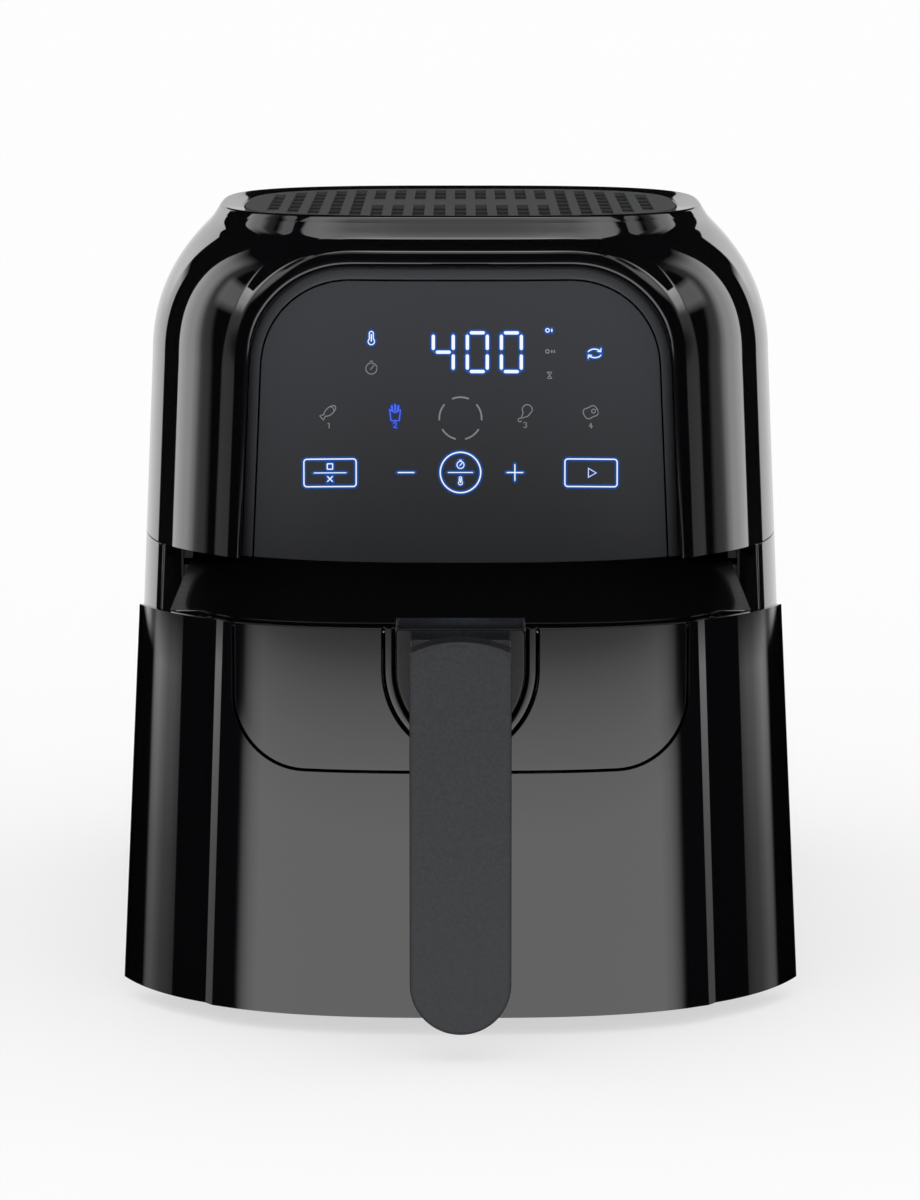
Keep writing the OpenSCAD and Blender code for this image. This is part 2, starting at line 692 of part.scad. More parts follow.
// Inner panel and floor that close the drawer front from behind, cut out round the pan.
module front_backing() {
    low = drawer_low + 1;
    high = pan_top - 2.1;
    color("#151517") pulled() difference() {
        union() {
            upright(backing_y, backing_y + 2) polygon([
                [-body_x(backing_y, low, wall + 0.3), low], [body_x(backing_y, low, wall + 0.3), low],
                [body_x(backing_y, high, wall + 0.3), high], [-body_x(backing_y, high, wall + 0.3), high]]);
            translate([0, 0, low]) linear_extrude(2) intersection() {
                body_outline(low, wall + 1.3);
                translate([-150, -200]) square([300, 200 + backing_y + 1]);
            }
        }
        loft([pan_ring(-12.5, pan_floor - 1), pan_ring(-7.5, pan_floor + 3), pan_ring(-4.5, pan_floor + 9),
            pan_ring(pan_t - 0.5, pan_top - 6), pan_ring(pan_t + 0.5, pan_top)]);
    }
}

// Raised lip between the insert and the handle's block.
module handle_surround() {
    color("#17171a") pulled() leaning(-half_d + 1.2) rotate([90, 0, 0]) translate([0, 0, -4]) linear_extrude(4)
        difference() {
            u_outline(u_half - 0.6, u_drop - 0.6, drawer_top);
            u_outline(block_half, u_drop - u_half + block_half, drawer_top + 1);
        }
}

// Tilt what is drawn upright at y = 0 so that it lies along the drafted front through (y, joint_z).
module leaning(y) {
    translate([0, y, joint_z]) rotate([-atan(draft), 0, 0]) translate([0, 0, -joint_z]) children();
}

// Block in the recess, with the arm that reaches forward to the grip.
module handle_arm() {
    face = -half_d - 2.2;
    back = -half_d + grip_t - grip_reach;
    top = drawer_top + 0.6;
    root_low = u_z - 12;
    reach = face + 1 - back;
    color("#303134") pulled() {
        difference() {
            upright(face, bracket_y) u_outline(block_half, u_drop - u_half + block_half, top);
            for (z = handle_screw_z) translate([0, bracket_y + 1, z]) rotate([90, 0, 0]) cylinder(r = 1.95, h = 16);
        }
        // arm, hollowed above and curved below
        translate([-grip_w / 2 + 0.2, 0, 0]) rotate([90, 0, 90]) linear_extrude(grip_w - 0.4) polygon(concat(
            [for (k = [0:8]) [face + 1 - reach * k / 8, top - 0.4 - 5 * sin(k * 180 / 8)]],
            [for (k = [0:8]) let (a = k * 90 / 8, z = root_low - 22 * (1 - sin(a)))
                [back - (joint_z - z) * draft * (1 - k / 8) + reach * (1 - cos(a)), z]]));
    }
}

// Grip with an arched top and a round lower end, leaning with the drawer front.
module handle_grip() {
    r = grip_w / 2;
    top = drawer_top + 3.2;
    color("#3a3b3f") pulled() leaning(-half_d - grip_reach)
        loft([for (k = [[0, 1.6], [0.5, 0.5], [1.6, 0], [grip_t - 3, 0], [grip_t - 1, 1], [grip_t - 0.05, 3]])
            grip_line(r - k[1], top - k[1], grip_low + k[1], k[0])]);
}
// Outline of the grip at depth y, clockwise seen from the front: arched top, straight sides, round end.
function grip_line(r, top, low, y) =
    let (rise = 5, arch_r = (r * r + rise * rise) / (2 * rise), half_angle = asin(r / arch_r))
    concat([for (k = [0:12]) let (a = -half_angle + 2 * half_angle * k / 12)
            [arch_r * sin(a), y, top - arch_r * (1 - cos(a))]],
        [for (k = [0:20]) let (a = k * 9) [r * cos(a), y, low + r - r * sin(a)]]);

handle_screw_z = [124, 146];
module handle_screws() {
    color("#8b8d91") pulled() for (z = handle_screw_z) translate([0, bracket_y + 1.6, z]) rotate([90, 0, 0]) {
        translate([0, 0, -2.2]) cylinder(r = 4, h = 2.2);
        cylinder(r = 1.9, h = 15);
    }
}

// Moulded cover between the drawer front and the pan, with a channel and two corner wells.
module drawer_cap() {
    color("#0c0c0e") pulled() difference() {
        union() {
            translate([0, 0, pan_top + 0.05]) linear_extrude(1.6) cap_outline(wall + 1.3);
            translate([0, 0, pan_top + 1.6]) linear_extrude(1.8) difference() {
                cap_outline(wall + 3);
                offset(delta = -2) cap_outline(wall + 3);
            }
        }
        for (s = [-1, 1]) translate([s * 112, -89, pan_top - 1]) cube([14, 11, 8], center = true);
        upright(-half_d - 20, -half_d + 24.3) square([2 * block_half + 0.6, 400], center = true);
    }
}
module cap_outline(t) {
    difference() {
        intersection() {
            union() {
                body_outline(joint_z, max(t, wall + 2.3));
                difference() {
                    body_outline(joint_z, t);
                    square([2 * insert_half + 12, 400], center = true);
                }
            }
            translate([-150, -160]) square([300, 160 + side_edge - 1.5]);
        }
        polygon([for (p = pan_ring(1.5, 0)) [p[0], p[1]]]);
    }
}

// Deep pressed pan with a flat flange; it slides on the guide rails.
module pan() {
    color("#333437") pulled() {
        difference() {
            loft([pan_ring(-13, pan_floor), pan_ring(-8, pan_floor + 3), pan_ring(-5, pan_floor + 9),
                pan_ring(pan_t - 1, pan_top - 6), pan_ring(pan_t, pan_top)]);
            loft([pan_ring(-13.5, pan_floor + pan_t), pan_ring(-9.5, pan_floor + pan_t + 3),
                pan_ring(-6.5, pan_floor + pan_t + 9), pan_ring(-1, pan_top - 6), pan_ring(0, pan_top + 0.5)]);
        }
        translate([0, 0, pan_top - 2]) linear_extrude(2) difference() {
            intersection() {
                body_outline(joint_z, wall + 2.6);
                translate([-flange_half, -160]) square([2 * flange_half, 160 + pan_y + pan_deep + 5]);
            }
            polygon([for (p = pan_ring(0.8, 0)) [p[0], p[1]]]);
            // notch for the handle's block
            translate([-block_half - clear, -160]) square([2 * block_half + 2 * clear, 160 + bracket_y + clear]);
        }
    }
}

// Steel bracket screwed to the handle's block, with two webs that are welded to the pan.
module pan_bracket() {
    low = 60;
    high = 148;
    // outer face of the pan's front wall at height z, where the webs meet it
    grow = function (z) 0.5 - (pan_top - 6 - z) * 5.5 / (pan_top - 15 - pan_floor);
    web_y = function (z) pan_y - (pan_deep + grow(z)) * pow(1 - pow(36 / (pan_half + grow(z)), pan_n), 1 / pan_n);
    color("#8d8f92") pulled() difference() {
        union() {
            translate([-40, bracket_y, low]) cube([80, 1.6, high - low]);
            for (s = [-1, 1]) translate([s * 36 - 1, 0, 0]) rotate([90, 0, 90]) linear_extrude(2)
                polygon([[bracket_y + 1.5, low], [web_y(low), low], [web_y(high), high], [bracket_y + 1.5, high]]);
        }
        for (z = handle_screw_z) translate([0, bracket_y - 1, z]) rotate([-90, 0, 0]) cylinder(r = 2.1, h = 5);
    }
}

// ---- Tray ----

tray_half = 102.8;
module crisper_tray() {
    half = tray_half;
    color("#3a3b3e") pulled() translate([0, pan_y, tray_z]) difference() {
        union() {
            // feet that stand just clear of the pan's floor
            for (x = [-70, 70], y = [-70, 70]) translate([x, y, pan_floor + pan_t + clear - tray_z])
                cylinder(r = 5, h = tray_z - pan_floor - pan_t - clear + 0.5);
            linear_extrude(1.5) polygon([for (p = se_ring(half, half + 2, pan_n, 0)) [p[0], p[1]]]);
            translate([0, 0, 1.4]) linear_extrude(3) difference() {
                polygon([for (p = se_ring(half, half + 2, pan_n, 0)) [p[0], p[1]]]);
                polygon([for (p = se_ring(half - 1.5, half + 0.5, pan_n, 0)) [p[0], p[1]]]);
            }
        }
        for (i = [-4:4], j = [-4:4]) if (norm([i, j]) > 0.5 && !(abs(i) == abs(j) && abs(i) == 4))
            translate([i * 20, j * 20, -1]) cylinder(r = 4, h = 4);
        // finger hole in the middle
        translate([0, 0, -1]) cylinder(r = 11, h = 4);
    }
}

module tray_bumpers() {
    color("#1d1d1f") pulled() for (a = [0:90:270]) translate([0, pan_y, tray_z]) rotate([0, 0, a])
        translate([-9, tray_half + (a % 180 == 0 ? 2 : 0), -1]) cube([18, 2.4, 6]);
}

upper_housing();
lower_housing();
base_plate();
rubber_feet();
top_grille();
panel_bezel();
touch_panel();
display_board();
rear_vent();
cord_gland();
base_screws();
chamber_liner();
bay_liner();
bay_floor();
guide_rail_left();
guide_rail_right();
heating_element();
element_guard();
temperature_probe();
thermal_cutout();
motor_plate();
motor_posts();
fan_motor();
motor_screws();
power_board();
interlock_switch();
interlock_plunger();
motor_shaft();
convection_fan();
fan_nut();
cooling_fan();
drawer_front();
front_insert();
front_backing();
drawer_cap();
pan();
pan_bracket();
handle_surround();
handle_arm();
handle_grip();
handle_screws();
crisper_tray();
tray_bumpers();
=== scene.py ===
import math

import bmesh
import bpy
import numpy as np
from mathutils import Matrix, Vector


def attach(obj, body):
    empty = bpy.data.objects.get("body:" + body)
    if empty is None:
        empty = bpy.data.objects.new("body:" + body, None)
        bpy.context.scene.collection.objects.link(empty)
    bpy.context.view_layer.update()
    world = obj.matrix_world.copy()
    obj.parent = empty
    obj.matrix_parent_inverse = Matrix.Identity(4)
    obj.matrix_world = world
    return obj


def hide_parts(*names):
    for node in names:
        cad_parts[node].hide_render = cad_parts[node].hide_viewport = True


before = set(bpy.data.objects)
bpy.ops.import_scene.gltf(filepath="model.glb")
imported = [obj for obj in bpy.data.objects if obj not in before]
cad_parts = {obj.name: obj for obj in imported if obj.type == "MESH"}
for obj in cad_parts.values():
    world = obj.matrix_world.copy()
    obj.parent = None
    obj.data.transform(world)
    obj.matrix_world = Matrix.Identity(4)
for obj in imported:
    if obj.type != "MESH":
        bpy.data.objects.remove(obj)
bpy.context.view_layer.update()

# ---- Camera ----
# Stands in front of the open drawer, a little above it, and looks slightly down through a long lens.
lens = bpy.data.cameras.new("camera")
lens.lens = 139.4
lens.sensor_width = 36
lens.clip_end = 100
camera = bpy.data.objects.new("camera", lens)
camera.location = (-0.0002, -2.0862, 0.4417)
camera.rotation_euler = (math.radians(81.36), 0, 0)
bpy.context.collection.objects.link(camera)
bpy.context.scene.camera = camera

# ---- Upper housing ----
# The moulded shell over the oven: gloss black ABS, injection moulded in one piece. A hood stands
# proud round the control panel's recess, runs level into the front of the rim, and the shoulder
# sweeps round the sides and the back, where the air outlet's window is.
HALF_W, HALF_D, BODY_N = 141.0, 142.5, 2.6      # body outline at the joint, mm
JOINT, DRAFT = 161.2, 0.044                     # height of the joint, and lean of every wall
SHOULDER, SHOULDER_R = 241.0, 76.0              # where the walls turn in, and the arc they turn on
COLLAR_FOOT, COLLAR_DEEPER = 299.4, 4.0         # foot of the steep collar, and how much lower it is in front
ARCH_HALF, ARCH_TOP, ARCH_R = 93.9, 286.0, 44.0 # recess of the control panel
PROUD = 1.1                                     # hood forward of, and columns behind, the outline
WALL = 2.4


def smooth(v):
    """Ease from 0 to 1: 3c^2 - 2c^3 with c the value held between 0 and 1."""
    c = np.clip(v, 0, 1)
    return c * c * (3 - 2 * c)


def ring_r(angle, a, b, n):
    """Radius of a superellipse with half sizes a and b at a polar angle from the front."""
    return ((np.abs(np.sin(angle)) / a) ** n + (np.abs(np.cos(angle)) / b) ** n) ** (-1 / n)


def other_axis(share, n):
    """How far a superellipse reaches on one axis at a share of the other: (1 - |share|^n)^(1/n)."""
    return np.maximum(0, 1 - np.abs(share) ** n) ** (1 / n)


def polar(angle, r):
    """Plan points (x, y) at polar angles from the front, which is -y."""
    return np.stack([r * np.sin(angle), -r * np.cos(angle)], -1)


def body_y(x, z, t=0.0):
    """Depth of the body at x, its outline grown by the draft and shrunk by t."""
    grow = (JOINT - z) * DRAFT - t
    return (HALF_D + grow) * other_axis(x / (HALF_W + grow), BODY_N)


def step_out(x):
    """Share of the proud step at x: none in the middle and at the sides, whole at the panel's edge."""
    return PROUD * smooth((HALF_W - np.abs(x)) / 30) * smooth(np.abs(x) / ARCH_HALF)


def frontal(x, y):
    """Share of the front in a direction: 1 within 25 degrees of straight ahead, 0 beyond 55."""
    return 1 - smooth((np.degrees(np.arctan2(np.abs(x), -y)) - 25) / 30)


def inset(z, front=0.0):
    """How far the shoulder lies inside the joint's outline: draft, arc, slope and collar, as the mean
    of seven heights 0.4 mm apart."""
    total = 0
    foot_z = COLLAR_FOOT - COLLAR_DEEPER * front
    for dz in np.linspace(-1.2, 1.2, 7):
        h = z + dz
        drafted = (np.minimum(h, SHOULDER) - JOINT) * DRAFT
        arc_top = SHOULDER + SHOULDER_R * math.sin(math.radians(45))
        rise = np.clip(h, SHOULDER, arc_top) - SHOULDER
        arc = SHOULDER_R - np.sqrt(SHOULDER_R ** 2 - rise ** 2)
        slope = np.clip(h - arc_top, 0, foot_z - arc_top)
        collar = np.clip(h - foot_z, 0, 10) * 0.62
        total = total + drafted + arc + slope + collar + 1.52 * front * smooth((h - 280) / 14)
    return total / 7


def outline_at(z, front=0.0):
    """Half width, half depth and exponent of the shoulder's outline at a height."""
    inward = inset(z, front)
    return (HALF_W - inward, HALF_D - inward - 3 * smooth((z - 270) / 30),
            BODY_N + 0.5 * smooth((z - SHOULDER) / 60))


def shoulder(angle, z):
    """Points on the shoulder surface at a polar angle and height, columns set back by the step."""
    front = frontal(np.sin(angle), -np.cos(angle))
    x, y = np.moveaxis(polar(angle, ring_r(angle, *outline_at(z, front))), -1, 0)
    y = y + np.where(y < 0, step_out(x), 0) * (1 - smooth((z - 270) / 20))
    return np.stack([x, y, z + 0 * x], -1)


def shoulder_y(x, z):
    """Front of the shoulder surface at (x, z), as the superellipse solved for y."""
    a, b, n = outline_at(z, frontal(x, -115.0))
    return step_out(x) * (1 - smooth((z - 270) / 20)) - b * other_axis(x / a, n)


def arch_line(half, top, r, sides, corner, flat):
    """Upright arch from the lower left over the top: points and outward normals in (x, z)."""
    lean = (top - r - JOINT) * DRAFT
    z_side = np.linspace(JOINT, top - r, sides, endpoint=False)
    turn = np.radians(np.linspace(0, 90, corner, endpoint=False))
    x_flat = np.linspace(half - lean - r, 0, flat)
    right = np.concatenate([
        np.stack([half - (z_side - JOINT) * DRAFT, z_side], -1),
        np.stack([half - lean - r + r * np.cos(turn), top - r + r * np.sin(turn)], -1),
        np.stack([x_flat, top + 0 * x_flat], -1)])
    normal = np.concatenate([
        np.stack([1 + 0 * z_side, 0 * z_side], -1), np.stack([np.cos(turn), np.sin(turn)], -1),
        np.stack([0 * x_flat, 1 + 0 * x_flat], -1)])
    return [np.concatenate([half_line[:-1] * [-1, 1], half_line[::-1]]) for half_line in (right, normal)]


def fillet(before, corner, after, radius, steps):
    """Arc of the given radius in the corner of a two-leg line, for many lines at once: the arc
    starts at distance r*tan(turn/2) before the corner and turns by the legs' angle."""
    into = corner - before
    out = after - corner
    l_in = np.linalg.norm(into, axis=-1, keepdims=True)
    l_out = np.linalg.norm(out, axis=-1, keepdims=True)
    into, out = into / l_in, out / l_out
    turn = np.arccos(np.clip((into * out).sum(-1, keepdims=True), -1, 1))
    reach = np.minimum(radius * np.tan(turn / 2), 0.49 * np.minimum(l_in, l_out))
    r = reach / np.maximum(np.tan(turn / 2), 1e-9)
    bend = out - into
    bend = bend / np.maximum(np.linalg.norm(bend, axis=-1, keepdims=True), 1e-9)
    centre = corner + bend * r / np.cos(turn / 2)
    start = corner - reach * into - centre
    a = np.linspace(0, 1, steps)[:, None, None] * turn
    return np.swapaxes(centre + start * np.cos(a) + into * r * np.sin(a), 0, 1)


def rounded(line, *bends):
    """A line with arcs in its first corners, each bend being a radius and a number of points."""
    line = np.array(line, float)
    arcs = [fillet(line[k:k + 1], line[k + 1:k + 2], line[k + 2:k + 3], *bend)[0]
            for k, bend in enumerate(bends)]
    return np.concatenate([line[:1], *arcs, line[len(bends) + 1:]])


def upright(flat, depth):
    """Points (x, z) set up as (x, y, z), y being depth(x, z)."""
    x, z = flat[..., 0], flat[..., 1]
    return np.stack([x, depth(x, z) + 0 * x, z], -1)


def patch(points, keep=None):
    """One grid of points (rows, columns, xyz) in mm, with a mask of the faces that it keeps."""
    rows, cols = points.shape[:2]
    index = np.arange(rows * cols).reshape(rows, cols)
    quads = np.stack([index[:-1, :-1], index[:-1, 1:], index[1:, 1:], index[1:, :-1]], -1)
    if keep is not None:
        quads = quads[keep]
    return points.reshape(-1, 3), quads.reshape(-1, 4)


def joined(name, patches):
    """One mesh, in metres, of several grids in mm."""
    starts = np.cumsum([0] + [len(points) for points, _ in patches])
    mesh = bpy.data.meshes.new(name)
    mesh.from_pydata((np.concatenate([points for points, _ in patches]) / 1000).tolist(), [],
                     np.concatenate([quads + start for (_, quads), start in zip(patches, starts)]).tolist())
    return mesh


def placed(name, mesh):
    """The object at the origin that shows a mesh."""
    thing = bpy.data.objects.new(name, mesh)
    bpy.context.collection.objects.link(thing)
    return thing


def shell(name, patches, inside):
    """One smooth object from grids: shared edges are welded, and faces turn away from a point that
    lies inside the shell, in mm."""
    mesh = joined(name, patches)
    bm = bmesh.new()
    bm.from_mesh(mesh)
    bmesh.ops.remove_doubles(bm, verts=bm.verts, dist=1e-5)
    bmesh.ops.dissolve_degenerate(bm, edges=bm.edges, dist=1e-6)
    loose = [v for v in bm.verts if not v.link_faces]
    bmesh.ops.delete(bm, geom=loose, context="VERTS")
    bmesh.ops.recalc_face_normals(bm, faces=bm.faces)
    face = max(bm.faces, key=lambda f: f.calc_area())
    if face.normal.dot(face.calc_center_median() * 1000 - Vector(inside)) < 0:
        bmesh.ops.reverse_faces(bm, faces=bm.faces)
    bm.to_mesh(mesh)
    bm.free()
    mesh.shade_smooth()
    return placed(name, mesh)


def hood_front(x, z):
    """Front of the hood: the drafted outline, standing proud towards the panel's edges."""
    return -body_y(x, z) - step_out(x)


edge_line, edge_out = arch_line(ARCH_HALF, ARCH_TOP, ARCH_R, sides=22, corner=44, flat=20)
# ease the arch's curvature: each point becomes a weighted mean of its neighbours, the ends held
for _ in range(6):
    edge_line[1:-1] = (edge_line[:-2] + 2 * edge_line[1:-1] + edge_line[2:]) / 4
    edge_out[1:-1] = (edge_out[:-2] + 2 * edge_out[1:-1] + edge_out[2:]) / 4
edge_out /= np.linalg.norm(edge_out, axis=1, keepdims=True)


def beside(d):
    """The arch's points moved outward by d (one value, or one for each station)."""
    return edge_line + edge_out * np.reshape(d, (-1, 1))


def behind(d):
    """How deep the shoulder lies behind the hood at distance d from the arch."""
    p = beside(d)
    return shoulder_y(p[:, 0], p[:, 1]) - hood_front(p[:, 0], p[:, 1])


# Across the hood, as (distance from the recess, depth behind its front): recess wall, bead,
# crest, flank and the foot on the shoulder, with every corner a true arc.
up = smooth(edge_out[:, 1])
tilt = np.degrees(np.arcsin(np.clip(edge_out[:, 1], 0, 1)))
crest = 4.8 + 4.0 * up
foot = 11.6 + 1.7 * up - 3.2 * smooth((tilt - 50) / 36)
land = foot + 2.6 - 1.4 * up
corners = [np.stack([d, r], -1) for d, r in (
    (0 * up, 0 * up + 6.5), (0 * up, 0 * up), (crest, 0 * up), (foot, behind(foot)), (land, behind(land)))]
across = np.concatenate([
    corners[0][:, None],
    fillet(corners[0], corners[1], corners[2], 3.9, 9),
    fillet(corners[1], corners[2], corners[3], np.reshape(9 - 4.6 * up, (-1, 1)), 10),
    fillet(corners[2], corners[3], corners[4], np.reshape(7 - 4.6 * up, (-1, 1)), 8),
    corners[4][:, None]], axis=1)
place = edge_line[:, None] + edge_out[:, None] * across[..., :1]
hood = upright(place, lambda x, z: hood_front(x, z) + across[..., 1])

# From the foot the shoulder fans out to the side lines and to the rim.
RIM_Z, SIDE = 303.2, math.radians(72)
ends = hood[:, -1]
start_angle = np.arctan2(ends[:, 0], -ends[:, 1])
sign = np.sign(np.where(np.abs(edge_out[:, 0]) < 1e-6, edge_line[:, 0], edge_out[:, 0]))
on_side = tilt < 42.0                             # the others lean further, and end on the rim
last_tilt = tilt[on_side].max()
reach_z = np.where(tilt < 0.5, ends[:, 2], 242 + (RIM_Z - 242) * np.clip(tilt / last_tilt, 0, 1) ** 1.2)
reach_z = np.where(on_side, np.maximum(reach_z, ends[:, 2]), RIM_Z)
VENT = (52.0, 196.0, 248.0)                       # half width, bottom and top of the outlet's window
for level in VENT[1:]:
    gap = np.abs(reach_z - level)
    reach_z[gap < gap.min() + 1e-6] = level
RIM_FRONT = 107.0                                 # depth of the rim's outer edge in the middle
corner_angle = math.atan2(46.3, RIM_FRONT)
fan = np.clip((tilt - last_tilt) / (90 - last_tilt), 0, 1)
reach_angle = np.where(on_side, SIDE, np.where(
    tilt > 89.9, np.arctan2(np.abs(edge_line[:, 0]), RIM_FRONT), SIDE + (corner_angle - SIDE) * fan)) * sign
share = np.linspace(0, 1, 22)[None]
share = (share + smooth(share)) / 2
fan_angle = start_angle[:, None] + (reach_angle - start_angle)[:, None] * share
fan_z = ends[:, 2][:, None] + (reach_z - ends[:, 2])[:, None] * share
fan_out = shoulder(fan_angle, fan_z)
front_part = np.concatenate([hood, fan_out[:, 1:]], axis=1)

# Sides and back: straight rows and columns, with the air outlet's window left open.
row_z = reach_z[on_side & (sign < 0)]
back_angle = np.linspace(SIDE, 2 * math.pi - SIDE, 97)[None] + 0 * row_z[:, None]
half_a, half_b, exponent = outline_at(row_z)
window_angle = np.arctan2(VENT[0], -half_b * other_axis(VENT[0] / half_a, exponent))
settle = smooth((row_z - VENT[2]) / 14)
for angle in (window_angle, 2 * math.pi - window_angle):
    column = np.argmin(np.abs(back_angle[0] - angle[0]))
    back_angle[:, column] += (angle - back_angle[:, column]) * (1 - settle)
back_part = shoulder(back_angle, row_z[:, None])
middle = (back_part[:-1, :-1] + back_part[1:, 1:]) / 2
open_window = ((np.abs(middle[..., 0]) < VENT[0]) & (middle[..., 1] > 0)
               & (middle[..., 2] > VENT[1]) & (middle[..., 2] < VENT[2]))

# Rim: collar, crest, a top band that dips inwards, and the ledge under the grille.
ring_angle = np.concatenate([reach_angle[~on_side], [SIDE], back_angle[-1, 1:]])
rim_line = rounded([[108.2, RIM_Z], [106.4, 306.3], [95.95, 304.7], [95.9, 301.3], [92.6, 301.3],
                    [92.6, 299.2]], (1.7, 8), (1.3, 6), (0.4, 3), (0.4, 3))
rim_half = rim_line[:, :1]
rim_r = ring_r(ring_angle, rim_half, rim_half - 1.5, BODY_N + 0.5)
rim_part = np.concatenate([polar(ring_angle, rim_r), (rim_line[:, 1:] + 0 * rim_r)[..., None]], -1)
rim_part = np.concatenate([rim_part, rim_part[:, :1]], axis=1)

housing = shell("upper_housing_shell", [patch(front_part), patch(back_part, ~open_window), patch(rim_part)],
                inside=(0, 0, 200))


def thicken(thing, thickness, edge=0.35):
    """Gives a surface its wall inwards, then rounds the wall's edges."""
    wall = thing.modifiers.new("wall", "SOLIDIFY")
    wall.thickness = thickness / 1000
    wall.offset = -1
    wall.use_quality_normals = True
    rounding = thing.modifiers.new("edges", "BEVEL")
    rounding.width = edge / 1000
    rounding.segments = 2
    rounding.limit_method = "ANGLE"
    rounding.angle_limit = math.radians(35)
    rounding.harden_normals = True


def rgb(hex_colour):
    """sRGB hex to linear: v/12.92 below 0.04045, else ((v + 0.055)/1.055)^2.4."""
    v = np.array([int(hex_colour[i:i + 2], 16) for i in (1, 3, 5)]) / 255
    return (*np.where(v <= 0.04045, v / 12.92, ((v + 0.055) / 1.055) ** 2.4), 1)


def add(tree, kind, inputs={}, **settings):
    """One shader node with its settings; an input is a value or a (node, output) pair to link."""
    made = tree.nodes.new(kind)
    for name, value in settings.items():
        setattr(made, name, value)
    for name, value in inputs.items():
        if isinstance(value, tuple) and isinstance(value[0], bpy.types.Node):
            tree.links.new(value[0].outputs[value[1]], made.inputs[name])
        else:
            made.inputs[name].default_value = value
    return made


def finish(name, **surface):
    """A new material and its Principled shader, with fixed values set on the sockets."""
    material = bpy.data.materials.new(name)
    material.use_nodes = True
    shader = material.node_tree.nodes["Principled BSDF"]
    for socket, value in surface.items():
        shader.inputs[socket.replace("_", " ")].default_value = value
    return material, material.node_tree, shader


def grain(tree, shader, per_mm, bump, rough, detail=2.0, axis_scale=(1, 1, 1)):
    """Fine relief, and a small spread of roughness, from noise of a real size on Object coordinates."""
    where = add(tree, "ShaderNodeTexCoord")
    sized = add(tree, "ShaderNodeMapping", {"Vector": (where, "Object"), "Scale": axis_scale})
    noise = add(tree, "ShaderNodeTexNoise", {"Vector": (sized, "Vector"), "Scale": per_mm * 1000,
                                             "Detail": detail})
    relief = add(tree, "ShaderNodeBump", {"Height": (noise, "Fac"), "Strength": 1.0,
                                          "Distance": bump / 1000})
    tree.links.new(relief.outputs["Normal"], shader.inputs["Normal"])
    if rough:
        spread = add(tree, "ShaderNodeMapRange", {"Value": (noise, "Fac"), "From Min": 0.3, "From Max": 0.7,
                                                  "To Min": rough[0], "To Max": rough[1]})
        tree.links.new(spread.outputs["Result"], shader.inputs["Roughness"])
    return noise


def grained(name, colour, per_mm, bump, rough=None, detail=2.0, axis_scale=(1, 1, 1), **surface):
    """The material of a finish with one colour and a grain."""
    material, tree, shader = finish(name, Base_Color=rgb(colour), **surface)
    grain(tree, shader, per_mm, bump, rough, detail, axis_scale)
    return material


# High-gloss moulded ABS: nearly black, mirror-like, with the slightest waviness from the mould.
gloss_black = grained("high_gloss_ABS", "#08080a", 0.02, 0.02, (0.025, 0.06), 1.0, Roughness=0.03, IOR=1.56,
                      Coat_Weight=1.0, Coat_Roughness=0.02, Coat_IOR=1.5)
thicken(housing, WALL)
housing.data.materials.append(gloss_black)
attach(housing, "housing")
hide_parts("upper_housing")

# ---- Lower housing ----
# The shell round the drawer's bay, the same gloss ABS: three drafted walls in one moulding, whose
# front edges are folded inwards to meet the bay's liner. Screwed to the base plate from below.
SIDE_EDGE, FOLD = -76.5, 122.3                  # where the side walls end, and the fold's inner edge
LEAD_IN, SEAM = 5.0, 0.5                        # the fold leans back for the drawer; gap to the upper shell
row_z = np.linspace(5.8, JOINT - SEAM, 9)
grow = (JOINT - row_z) * DRAFT
edge_x = (HALF_W + grow) * other_axis(SIDE_EDGE / (HALF_D + grow), BODY_N)
turn = np.arctan2(edge_x, -SIDE_EDGE)[:, None]
wall_angle = turn + (2 * math.pi - 2 * turn) * np.linspace(0, 1, 121)[None]
plan = polar(wall_angle, ring_r(wall_angle, (HALF_W + grow)[:, None], (HALF_D + grow)[:, None], BODY_N))
folded = np.stack([FOLD + 0 * grow, SIDE_EDGE + LEAD_IN + 0 * grow], -1)
corner = fillet(folded, plan[:, 0], plan[:, 1], 1.0, 6)
plan = np.concatenate([folded[:, None], corner, plan[:, 1:-1], corner[:, ::-1] * [-1, 1],
                       folded[:, None] * [-1, 1]], axis=1)
walls = np.concatenate([plan, 0 * plan[..., :1] + row_z[:, None, None]], -1)
lower = shell("lower_housing_shell", [patch(walls)], inside=(0, 0, 80))
thicken(lower, WALL)
lower.data.materials.append(gloss_black)
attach(lower, "housing")
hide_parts("lower_housing")

# ---- Panel frame ----
# A satin ABS frame pressed into the recess round the touch glass, with softened edges.
FRAME_W, SUNK = 4.9, 4.0                        # frame's width; frame and glass behind the outline
PANEL_FOOT = JOINT + 0.4


def painted_sheen_by_height(tree, shader, low, high):
    """Base colour that runs from one shade at the panel's foot to another at its top: painted light, with
    the upper part painted lighter as a painted reflection of the sky.
    """
    where = add(tree, "ShaderNodeTexCoord")
    apart = add(tree, "ShaderNodeSeparateXYZ", {"Vector": (where, "Object")})
    height = add(tree, "ShaderNodeMapRange", {"Value": (apart, "Z"), "From Min": 0.165, "From Max": 0.285})
    shade = add(tree, "ShaderNodeValToRGB", {"Fac": (height, "Result")})
    shade.color_ramp.elements[0].color = rgb(low)
    shade.color_ramp.elements[1].color = rgb(high)
    tree.links.new(shade.outputs["Color"], shader.inputs["Base Color"])


frame_line = rounded([[-FRAME_W, 3.4], [-FRAME_W, 0], [-0.15, 0], [-0.15, 3.4]], (0.6, 4), (0.6, 4))
place = edge_line[:, None] + edge_out[:, None] * frame_line[None, :, :1]
place[..., 1] = np.maximum(place[..., 1], PANEL_FOOT)
surround = shell("panel_frame", [patch(upright(place, lambda x, z: frame_line[:, 1] - body_y(x, z, SUNK)))],
                 inside=(0, 0, 200))
thicken(surround, 0.8, 0.2)
